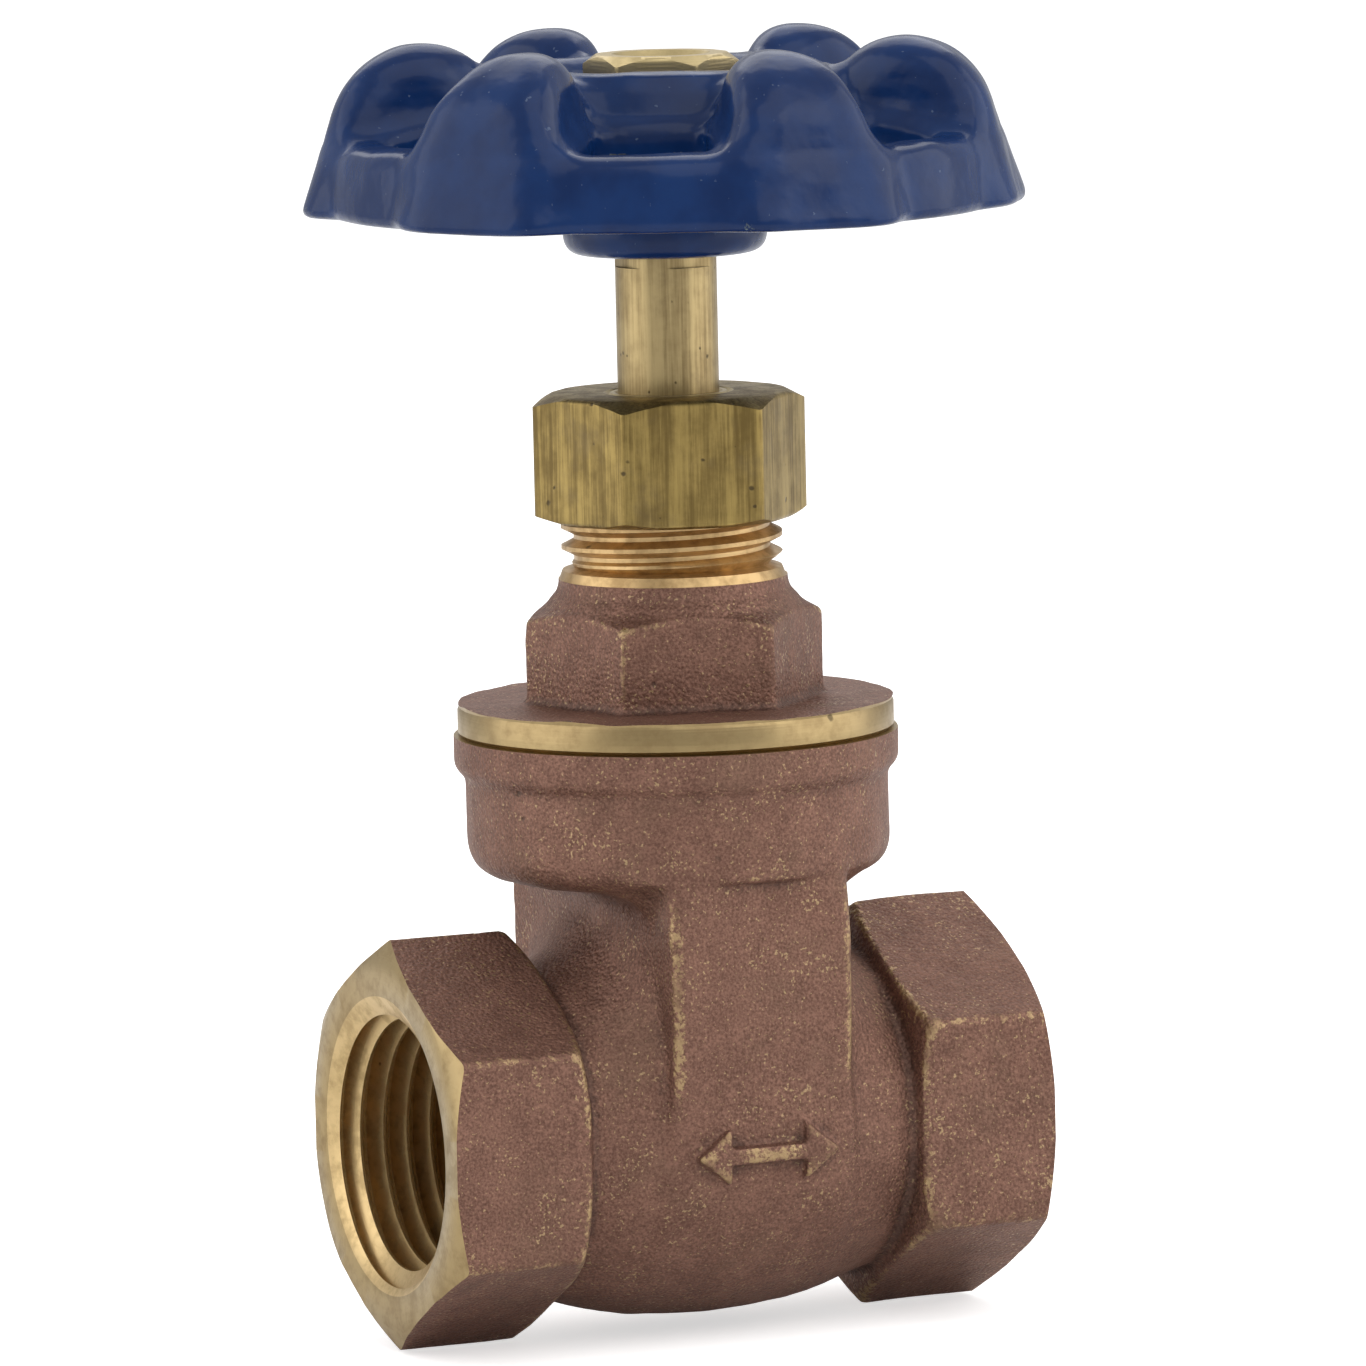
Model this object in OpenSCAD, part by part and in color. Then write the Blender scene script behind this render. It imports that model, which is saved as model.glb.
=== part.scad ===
// Half-inch bronze gate valve: non-rising stem, screwed bonnet, solid wedge, female pipe-thread ends.
// Origin: where the pipe axis (X) crosses the stem axis (Z). The gate is modelled closed.
// Threads are plain cylinders at the size that the mating part meets.

/* [Pipe ends] */
// Face-to-face length along the pipe
face_to_face = 47.3; // [45:0.1:48]
// Width across the flats of the end hexagons
end_hex_af = 26; // [25:0.1:27]
// Length of each end hexagon
end_hex_l = 10.7; // [9:0.1:11]
// Radius of the tapped wall of each socket
socket_r = 9.16; // [9:0.01:9.3]
// Depth of each socket
socket_l = 11.5; // [10:0.1:12]
// Diameter of the waterway between the sockets
waterway_d = 12.7; // [11:0.1:13]

/* [Body casting] */
// Thickness of the gate housing along the pipe
housing_t = 14.1; // [13.8:0.1:15]
// Width of the gate housing across the pipe
housing_w = 28.8; // [28:0.1:30]
// Lowest point of the belly, below the pipe axis
belly_drop = 14.2; // [13.6:0.1:14.4]
// Height at which the collar starts
collar_base_z = 18; // [17:0.1:19]
// Diameter of the collar
collar_d = 30.3; // [30:0.1:31]
// Height at which the collar steps out to its lip
lip_base_z = 25.6; // [25:0.1:27]
// Diameter of the lip
lip_d = 31.9; // [31.5:0.1:33]
// Height of the body's top face
body_top_z = 28.5; // [28.3:0.1:29.4]

/* [Bonnet] */
// Diameter of the bonnet flange
flange_d = 31.6; // [30:0.1:32]
// Thickness of the bonnet flange
flange_t = 2.35; // [2:0.05:2.6]
// Width across the flats of the bonnet hexagon
bonnet_hex_af = 19; // [18.6:0.1:20]
// Height at which the bonnet hexagon ends
bonnet_hex_top_z = 37.4; // [37:0.1:38]
// Height at which the threaded neck starts
neck_base_z = 39.6; // [39.4:0.1:40.6]
// Height of the neck's top
neck_top_z = 48.8; // [48.4:0.1:49]
// Radius of the threaded neck
neck_r = 8; // [7.8:0.05:8.2]
// Turn of the bonnet hexagon about the stem, in degrees
bonnet_turn = 45.8; // [0:0.1:60]

/* [Stem and packing] */
// Radius of the stem's plain shank
stem_r = 3.665; // [3.5:0.005:3.7]
// Radius of the stem's lower thread
stem_thread_r = 3; // [2.8:0.05:3.1]
// Width across the square that drives the handwheel
square_af = 6.4; // [6:0.1:6.6]
// Turn of the square about the stem, in degrees
square_turn = 5.8; // [0:0.1:90]
// Radius of the stuffing box
stuffing_r = 5.5; // [5.3:0.05:5.8]
// Number of packing rings
packing_count = 3; // [3:1:3]
// Height of one packing ring
packing_h = 1.7; // [1.5:0.05:1.75]

/* [Packing nut] */
// Width across the flats of the packing nut
nut_af = 17.46; // [17.3:0.02:18]
// Height of the packing nut's bottom face
nut_base_z = 43.9; // [43.6:0.1:45]
// Height of the packing nut's top face
nut_top_z = 53.1; // [53:0.1:53.6]
// Turn of the packing nut about the stem, in degrees
nut_turn = 46.3; // [0:0.1:60]

/* [Gate] */
// Radius of the wedge disc
wedge_r = 8.5; // [8.2:0.1:8.6]
// Thickness of the wedge at the pipe axis
wedge_t = 8.4; // [8.2:0.05:8.6]
// Taper of each wedge face, in degrees
wedge_taper = 4; // [3:0.5:4.5]
// Height of the wedge boss above the pipe axis
boss_top_z = 17; // [16:0.1:17]

/* [Handwheel] */
// Diameter over the lobes
wheel_d = 52; // [50:0.5:54]
// Height of the rim's bottom edge
rim_base_z = 66.3; // [66:0.1:67.5]
// Height of the lobe tops
lobe_top_z = 78.7; // [78.4:0.1:79.4]
// Distance of the lobe tops from the stem axis
lobe_top_r = 17.3; // [17:0.1:17.8]
// Height of the hub's bottom face
hub_base_z = 63.1; // [63:0.1:64]
// Diameter of the hub below the rim
hub_d = 14.75; // [14:0.05:15.5]
// Turn of the lobes about the stem, in degrees
wheel_turn = 32.1; // [0:0.1:60]
// Width across the flats of the handwheel nut
wheel_nut_af = 10; // [9.8:0.1:10.4]
// Turn of the handwheel nut about the stem, in degrees
wheel_nut_turn = 30.9; // [0:0.1:60]

/* [Hidden] */
$fn = 96;
fit = 0.05;            // radial clearance of a running fit
over = 1;              // extra length of a cutter past a face
half_l = face_to_face / 2;
end_hex_r = end_hex_af / 2 / cos(30);
waterway_r = waterway_d / 2;
barrel_r = 12.1;       // barrel beside the hexagons
belly_half_l = half_l - end_hex_l;
belly_arc_r = (pow(belly_half_l, 2) + pow(belly_drop - barrel_r, 2)) / (2 * (belly_drop - barrel_r));
mouth_r = 12.5;        // screwed joint of body and bonnet
mouth_base_z = 22.6;
pocket_t = 10.2;       // gate pocket along the pipe
pocket_w = 19.4;       // gate pocket across the pipe
seat_r = 8;            // outside radius of the two seat rings
rib_t = 1.8;           // guide ribs in the pocket
gasket_t = 0.5;
shank_base_z = 23.4;
cavity_r = 10.6;       // hollow of the bonnet shank
ring_r = 7;            // retaining ring thread
ring_base_z = 33;
ring_top_z = 37;
collar_pocket_z = 39.6;
stuffing_base_z = 41.5;
packing_washer_t = 0.6;
packing_base_z = stuffing_base_z + packing_washer_t;
gland_base_z = packing_base_z + packing_count * packing_h;
nut_web_t = 1.5;
gland_flange_t = 1;
gland_flange_z = nut_top_z - nut_web_t - gland_flange_t;
nut_hole_r = 4.4;      // hole in the packing nut's web
square_base_z = 62.9;
square_top_z = 72.8;
wheel_seat_z = 73;     // floor of the dish that the handwheel nut sits on
wheel_nut_top_z = 77.5;
wheel_thread_r = 3;
lobe_arc_r = 6.8;      // round top of a lobe, seen from the side
lobe_width = 7.4;      // round top of a lobe, seen from the rim
lobe_foot_w = 12.4;    // a lobe's width at the rim's bottom edge
lobe_ridge_cut = 0.7;  // how far the side view cuts down the rim view's round top
wheel_wall = 1.7;
rim_top_z = 72;
rim_outer_r = 24.7;
rim_inner_r = 21.4;
wheel_floor_z = 69.7;  // underside of the floor between the lobes
window_r = 14.6;       // inner end of each window
window_l = 5.8;        // each window's length from the hub to the rim
window_w = 8.6;        // each window's width
crest_z = 76.8;        // ring round the handwheel nut
crest_r = 11.6;
cup_r = 13.2;
bronze = "#8f5d52";
brass = "#b39a5c";

// Points of an arc about [cx, cy], from angle a to angle b in n steps
function arc(cx, cy, r, a, b, n = 12) =
    [for (i = [0:n]) [cx + r * cos(a + (b - a) * i / n), cy + r * sin(a + (b - a) * i / n)]];

// Hexagonal bar standing on the XY plane
module hexagon_bar(af, h) {
    cylinder(h = h, r = af / 2 / cos(30), $fn = 6);
}

// Solid of revolution that trims a hexagon's corners by depth at its bottom and its top
module corner_trim(af, h, depth) {
    tip = af / 2 / cos(30);
    flat = af / 2 + 0.1;
    rotate_extrude()
        polygon([[0, 0], [flat, 0], [tip + 0.01, depth], [tip + 0.01, h - depth], [flat, h], [0, h]]);
}

// Square bar standing on the XY plane
module square_bar(af, h) {
    translate([-af / 2, -af / 2, 0])
        cube([af, af, h]);
}

// Everything drawn here lies along the pipe instead of the stem
module along_pipe() {
    rotate([0, 90, 0])
        children();
}

// --- Body ---

module end_hexagon() {
    translate([half_l - end_hex_l, 0, 0])
        along_pipe()
            intersection() {
                hexagon_bar(end_hex_af, end_hex_l);
                corner_trim(end_hex_af, end_hex_l, 0.8);
            }
}

// Barrel and belly, round about the pipe axis and swollen by extra
module belly(extra = 0) {
    rotate([0, 90, 0])
        rotate_extrude()
            polygon(concat([[0, -belly_half_l]],
                [for (i = [-8:8])
                    let (x = belly_half_l * i / 8)
                    [belly_drop + extra - belly_arc_r + sqrt(pow(belly_arc_r, 2) - x * x), x]],
                [[0, belly_half_l]]));
}

// Flat-sided box round the gate, with a round bottom
module gate_housing() {
    translate([-housing_t / 2, 0, 0])
        rotate([90, 0, 90])
            linear_extrude(housing_t) {
                translate([0, housing_w / 2 - belly_drop])
                    circle(housing_w / 2);
                translate([-housing_w / 2, 0])
                    square([housing_w, collar_base_z + 1]);
            }
}

module collar() {
    rotate_extrude()
        polygon(concat([[0, collar_base_z]],
            arc(collar_d / 2 - 2, collar_base_z + 2, 2, -90, 0, 6),
            [[collar_d / 2, lip_base_z], [lip_d / 2, lip_base_z + 0.4],
             [lip_d / 2, body_top_z], [0, body_top_z]]));
}

// Raised flow mark on the belly: a bar with an arrowhead at each end
module flow_mark() {
    intersection() {
        belly(0.95);
        translate([0, -belly_drop - 3, -0.6])
            rotate([-90, 0, 0])
                linear_extrude(8)
                    for (side = [-1, 1]) {
                        translate([side * 1.5, 0])
                            square([3.4, 1.3], center = true);
                        polygon([[side * 2.9, -2.1], [side * 2.9, 2.1], [side * 5.6, 0]]);
                    }
    }
}

// Space for the wedge over its whole travel, with the seats' sloping faces
module wedge_space() {
    base = -wedge_r - 1;
    top = collar_base_z + 2;
    gap = wedge_t / 2 + fit;
    rotate([90, 0, 0])
        linear_extrude(pocket_w, center = true)
            polygon([[-gap - base * tan(wedge_taper), base], [gap + base * tan(wedge_taper), base],
                     [gap + top * tan(wedge_taper), top], [-gap - top * tan(wedge_taper), top]]);
}

module seat_rings() {
    along_pipe()
        cylinder(h = pocket_t + over, r = seat_r, center = true);
}

module guide_ribs() {
    for (side = [-1, 1])
        translate([-rib_t / 2, side * (pocket_w / 2 - 0.6) - 0.7, -7])
            cube([rib_t, 1.4, 26]);
}

module gate_pocket() {
    difference() {
        union() {
            difference() {
                translate([-pocket_t / 2, -pocket_w / 2, -wedge_r - 1])
                    cube([pocket_t, pocket_w, mouth_base_z + wedge_r + 2]);
                seat_rings();
            }
            intersection() {
                wedge_space();
                translate([-pocket_t / 2, -pocket_w / 2, -wedge_r - 1])
                    cube([pocket_t, pocket_w, mouth_base_z + wedge_r + 2]);
            }
        }
        guide_ribs();
    }
}

module waterways() {
    for (side = [0, 180])
        rotate([0, 0, side])
            along_pipe() {
                cylinder(h = half_l + over, r = waterway_r);
                translate([0, 0, half_l - socket_l])
                    cylinder(h = socket_l + over, r = socket_r);
                translate([0, 0, half_l - 1])
                    cylinder(h = 1.01, r1 = socket_r, r2 = socket_r + 1.7);
            }
}

module bonnet_mouth() {
    translate([0, 0, mouth_base_z])
        cylinder(h = 20, r = mouth_r);
    translate([0, 0, body_top_z - gasket_t])
        cylinder(h = 20, r = mouth_r + 1.6);
    translate([0, 0, mouth_base_z - 2.2])
        cylinder(h = 2.3, r1 = pocket_w / 2, r2 = mouth_r - 0.7);
}

module body() {
    color(bronze)
        difference() {
            union() {
                for (side = [0, 180])
                    rotate([0, 0, side])
                        end_hexagon();
                belly();
                gate_housing();
                collar();
                flow_mark();
            }
            waterways();
            gate_pocket();
            bonnet_mouth();
        }
}

// --- Bonnet ---

module bonnet() {
    flange_top_z = body_top_z + flange_t;
    shoulder_r = neck_r + 0.3;
    color(bronze)
        difference() {
            union() {
                translate([0, 0, body_top_z])
                    cylinder(h = flange_t, r = flange_d / 2);
                translate([0, 0, shank_base_z])
                    cylinder(h = body_top_z - shank_base_z + 0.1, r = mouth_r - fit);
                rotate([0, 0, bonnet_turn])
                    intersection() {
                        translate([0, 0, flange_top_z - 0.1])
                            hexagon_bar(bonnet_hex_af, neck_base_z - flange_top_z + 0.1);
                        rotate_extrude()
                            polygon([[0, 0], [20, 0], [20, bonnet_hex_top_z - 2.6],
                                     [10.9, bonnet_hex_top_z - 0.5], [shoulder_r + 0.7, neck_base_z - 1.4],
                                     [shoulder_r, neck_base_z], [0, neck_base_z]]);
                    }
                cylinder(h = neck_top_z, r = neck_r);
            }
            rotate_extrude()
                polygon([[0, -over], [cavity_r, -over], [cavity_r, 28], [ring_r, 30.6], [ring_r, ring_top_z],
                         [stuffing_r + 0.03, ring_top_z], [stuffing_r + 0.03, collar_pocket_z],
                         [stem_r + fit, collar_pocket_z], [stem_r + fit, stuffing_base_z],
                         [stuffing_r, stuffing_base_z], [stuffing_r, neck_top_z - 0.6],
                         [stuffing_r + 0.8, neck_top_z + 0.2], [0, neck_top_z + 0.2]]);
            translate([0, 0, -over])
                cylinder(h = shank_base_z + over, r = neck_r + over);
        }
}

// Flat ring with a hole, standing at height z
module flat_ring(z, h, inner_r, outer_r) {
    translate([0, 0, z])
        difference() {
            cylinder(h = h, r = outer_r);
            translate([0, 0, -over])
                cylinder(h = h + 2 * over, r = inner_r);
        }
}

module bonnet_gasket() {
    color("#5a5f55")
        flat_ring(body_top_z - gasket_t, gasket_t, mouth_r, mouth_r + 1.55);
}

// --- Gate ---

module wedge() {
    base = -wedge_r - 0.5;
    half = wedge_t / 2;
    rise = tan(wedge_taper);
    color(bronze)
        difference() {
            union() {
                intersection() {
                    along_pipe()
                        cylinder(h = pocket_t, r = wedge_r, center = true);
                    rotate([90, 0, 0])
                        linear_extrude(pocket_w, center = true)
                            polygon([[-half - base * rise, base], [half + base * rise, base],
                                     [half + 9 * rise, 9], [-half - 9 * rise, 9]]);
                }
                translate([-half, -wedge_r + 0.3, -3])
                    cube([wedge_t, 2 * wedge_r - 0.6, 6]);
                translate([0, 0, 5])
                    cylinder(h = boss_top_z - 5, r = half + 0.2);
            }
            translate([0, 0, -5.4])
                cylinder(h = boss_top_z + 5.4 + over, r = stem_thread_r + fit);
            for (side = [-1, 1])
                translate([-rib_t / 2 - 0.2, side * wedge_r - 0.7, -10])
                    cube([rib_t + 0.4, 1.4, 20]);
            wedge_face_clearance();
        }
}

// Keeps the wedge's lug block inside the taper of its faces
module wedge_face_clearance() {
    rise = tan(wedge_taper);
    for (side = [-1, 1])
        rotate([90, 0, 0])
            linear_extrude(pocket_w, center = true)
                polygon([[side * (wedge_t / 2 - 10 * rise), -10], [side * (wedge_t / 2 + 4 * rise), 4],
                         [side * 8, 4], [side * 8, -10]]);
}

// --- Stem ---

module stem() {
    color(brass)
        union() {
            translate([0, 0, 10])
                cylinder(h = ring_base_z - 10.4, r = stem_thread_r);
            translate([0, 0, ring_base_z - 0.6])
                cylinder(h = 5, r = stem_thread_r + 0.1);
            translate([0, 0, ring_top_z + 0.05])
                cylinder(h = collar_pocket_z - ring_top_z - 0.15, r = stuffing_r - fit);
            translate([0, 0, collar_pocket_z - 1])
                cylinder(h = square_base_z - collar_pocket_z + 1, r = stem_r);
            intersection() {
                translate([0, 0, square_base_z - 0.1])
                    cylinder(h = square_top_z - square_base_z + 0.1, r = stem_r);
                rotate([0, 0, square_turn])
                    translate([0, 0, square_base_z - 0.1])
                        square_bar(square_af, square_top_z - square_base_z + 0.1);
            }
            translate([0, 0, square_top_z - 0.1])
                cylinder(h = wheel_nut_top_z - 0.6 - square_top_z, r = wheel_thread_r);
        }
}

module stem_retaining_ring() {
    color(brass)
        difference() {
            flat_ring(ring_base_z, ring_top_z - ring_base_z, stem_thread_r + 0.1 + fit, ring_r);
            translate([-ring_r - over, -0.8, ring_base_z - over])
                cube([2 * ring_r + 2 * over, 1.6, over + 1]);
        }
}

// --- Packing ---

module packing_washer() {
    color(brass)
        flat_ring(stuffing_base_z, packing_washer_t, stem_r + fit, stuffing_r - 0.02);
}

// One packing ring, counted from the bottom
module packing_ring(index) {
    color("#3c3c3c")
        flat_ring(packing_base_z + index * packing_h, packing_h, stem_r + 0.02, stuffing_r - 0.02);
}

module packing_gland() {
    color(brass)
        difference() {
            union() {
                translate([0, 0, gland_base_z])
                    cylinder(h = gland_flange_z - gland_base_z + 0.1, r = stuffing_r - fit);
                translate([0, 0, gland_flange_z])
                    cylinder(h = gland_flange_t, r = neck_r - 0.5);
                translate([0, 0, gland_flange_z])
                    cylinder(h = gland_flange_t + nut_web_t + 0.1, r = nut_hole_r - fit);
            }
            cylinder(h = 100, r = stem_r + fit);
        }
}

module packing_nut() {
    height = nut_top_z - nut_base_z;
    color(brass)
        translate([0, 0, nut_base_z])
            difference() {
                rotate([0, 0, nut_turn])
                    intersection() {
                        hexagon_bar(nut_af, height);
                        corner_trim(nut_af, height, 0.7);
                    }
                translate([0, 0, -over])
                    cylinder(h = height - nut_web_t + over, r = neck_r + fit);
                cylinder(h = height + over, r = nut_hole_r);
                translate([0, 0, -0.01])
                    cylinder(h = 0.6, r1 = neck_r + 0.5, r2 = neck_r);
            }
}

// --- Handwheel ---

// Outline of a lobe seen from the rim, drawn larger by grow
module lobe_arch(grow = 0) {
    round_r = lobe_width / 2 + grow;
    shoulder_z = lobe_top_z + lobe_ridge_cut - lobe_width / 2;
    foot = lobe_foot_w / 2 + grow;
    translate([0, shoulder_z])
        circle(round_r);
    polygon([[-round_r, shoulder_z], [round_r, shoulder_z], [foot, rim_base_z], [-foot, rim_base_z]]);
}

// Outline of a lobe seen from the side, drawn larger by grow
module lobe_side(grow = 0) {
    arc_z = lobe_top_z - lobe_arc_r;
    polygon(concat([[crest_r - 3, rim_base_z], [wheel_d / 2 + grow, rim_base_z]],
        arc(lobe_top_r, arc_z, lobe_arc_r + grow, 5, 145, 8),
        [[crest_r - 3, crest_z - 3.2]]));
}

// One lobe along +X, or the hollow inside it when grow is negative
module lobe(grow = 0) {
    intersection() {
        rotate([90, 0, 0])
            linear_extrude(lobe_foot_w + 4, center = true)
                lobe_side(grow);
        rotate([90, 0, 90])
            linear_extrude(wheel_d)
                lobe_arch(grow);
    }
}

// Hub, the cup round the handwheel nut, and the floor and rim between the lobes
module wheel_centre() {
    rotate_extrude()
        polygon([[0, hub_base_z], [hub_d / 2 - 1, hub_base_z], [hub_d / 2, hub_base_z + 1],
                 [hub_d / 2, wheel_floor_z], [rim_inner_r, wheel_floor_z], [rim_inner_r + 0.6, rim_base_z],
                 [rim_outer_r, rim_base_z], [rim_outer_r - 0.7, rim_top_z - 0.8],
                 [rim_outer_r - 1.5, rim_top_z], [cup_r + 0.5, rim_top_z], [cup_r - 0.6, 74.5],
                 [crest_r, crest_z], [0, crest_z]]);
}

module handwheel() {
    color("#27406f")
        difference() {
            intersection() {
                union() {
                    wheel_centre();
                    for (k = [0:5])
                        rotate([0, 0, wheel_turn + 60 * k])
                            lobe();
                }
                translate([0, 0, hub_base_z - over])
                    cylinder(h = 30, r = wheel_d / 2);
            }
            for (k = [0:5]) {
                rotate([0, 0, wheel_turn + 60 * k])
                    translate([cup_r, 0, 0])
                        intersection() {
                            translate([-cup_r, 0, -0.01])
                                lobe(-wheel_wall);
                            translate([0, -wheel_d / 2, 0])
                                cube([wheel_d, wheel_d, 100]);
                        }
                rotate([0, 0, wheel_turn + 30 + 60 * k])
                    translate([window_r, -window_w / 2, wheel_floor_z - over])
                        cube([window_l, window_w, rim_top_z - wheel_floor_z + 2 * over]);
            }
            translate([0, 0, wheel_seat_z])
                cylinder(h = crest_z - wheel_seat_z + 0.01, r1 = 6.4, r2 = 8.6);
            rotate([0, 0, square_turn])
                translate([0, 0, hub_base_z - over])
                    square_bar(square_af + fit, 20);
        }
}

module handwheel_nut() {
    height = wheel_nut_top_z - wheel_seat_z;
    color(brass)
        translate([0, 0, wheel_seat_z])
            difference() {
                rotate([0, 0, wheel_nut_turn])
                    intersection() {
                        hexagon_bar(wheel_nut_af, height);
                        corner_trim(wheel_nut_af, height, 0.7);
                    }
                translate([0, 0, -over])
                    cylinder(h = height + 2 * over, r = wheel_thread_r + fit);
                translate([0, 0, height - 0.5])
                    cylinder(h = 0.51, r1 = wheel_thread_r, r2 = wheel_thread_r + 0.55);
            }
}

body();
bonnet();
bonnet_gasket();
wedge();
stem();
stem_retaining_ring();
packing_washer();
packing_ring(0);  // packing_ring_lower
packing_ring(1);  // packing_ring_middle
packing_ring(2);  // packing_ring_upper
packing_gland();
packing_nut();
handwheel();
handwheel_nut();
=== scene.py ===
"""Visual model of a half-inch bronze gate valve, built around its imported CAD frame.

Lengths in the classes below are millimetres in the valve's own frame: X runs along the pipe,
Z along the stem, and the origin is where the two axes cross. Meshes are written in metres.

The cast pieces are sampled from smooth distance fields, as a pattern maker would blend them,
and are then machined with exact cutters. Turned pieces are built ring by ring.
"""
import logging
import math
from dataclasses import dataclass, field
from enum import Enum
from typing import Callable, Iterable, Optional, Sequence

import bmesh
import bpy
import numpy as np
from mathutils import Matrix, Vector


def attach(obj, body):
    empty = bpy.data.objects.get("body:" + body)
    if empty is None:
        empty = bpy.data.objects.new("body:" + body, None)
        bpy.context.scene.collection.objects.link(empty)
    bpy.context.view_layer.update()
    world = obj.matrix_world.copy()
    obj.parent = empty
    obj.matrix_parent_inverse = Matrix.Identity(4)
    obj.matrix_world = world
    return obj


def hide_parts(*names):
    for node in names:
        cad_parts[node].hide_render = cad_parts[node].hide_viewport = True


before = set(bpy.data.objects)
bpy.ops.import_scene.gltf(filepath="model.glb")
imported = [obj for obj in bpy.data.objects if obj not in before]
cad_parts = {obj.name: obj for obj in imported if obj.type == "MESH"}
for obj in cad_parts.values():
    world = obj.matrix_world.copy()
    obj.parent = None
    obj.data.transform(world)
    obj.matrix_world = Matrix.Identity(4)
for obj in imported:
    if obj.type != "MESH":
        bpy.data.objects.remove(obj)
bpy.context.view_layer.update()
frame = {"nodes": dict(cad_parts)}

log = logging.getLogger("gate_valve")
MM = 0.001
Array = np.ndarray


# ---------------------------------------------------------------------------
# Distance fields
# ---------------------------------------------------------------------------

def smooth_min(a: Array, b: Array, blend: float) -> Array:
    """Join two fields with a fillet.

    Args:
        a: First distance field.
        b: Second distance field.
        blend: Width of the fillet zone, in millimetres.

    Returns:
        The field of both shapes together.
    """
    h = np.clip(0.5 + 0.5 * (b - a) / blend, 0.0, 1.0)
    return b + (a - b) * h - blend * h * (1.0 - h)


def smooth_max(a: Array, b: Array, blend: float) -> Array:
    """Keep what two fields share, with rounded edges of about that width."""
    return -smooth_min(-a, -b, blend)


def hexagon_field(across: Array, along: Array, af: float, rounding: float) -> Array:
    """Distance to a hexagon.

    Args:
        across: Coordinate square to one pair of flats.
        along: Coordinate towards a vertex.
        af: Width across the flats.
        rounding: Width of the rounding on the vertices.

    Returns:
        Signed distance, negative inside.
    """
    flat = np.abs(across)
    slope = 0.5 * np.abs(across) + math.sqrt(0.75) * np.abs(along)
    return smooth_max(flat, slope, rounding) - af / 2


def box_blur(values: Array, width: int) -> Array:
    """Mean of a field over a cube of the given odd width, one axis at a time."""
    half = width // 2
    for axis in range(3):
        pad = [(0, 0)] * 3
        pad[axis] = (half + 1, half)
        total = np.cumsum(np.pad(values, pad, mode="edge"), axis=axis, dtype=np.float64)
        upper = np.take(total, range(width, total.shape[axis]), axis=axis)
        lower = np.take(total, range(0, total.shape[axis] - width), axis=axis)
        values = ((upper - lower) / width).astype(np.float32)
    return values


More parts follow.
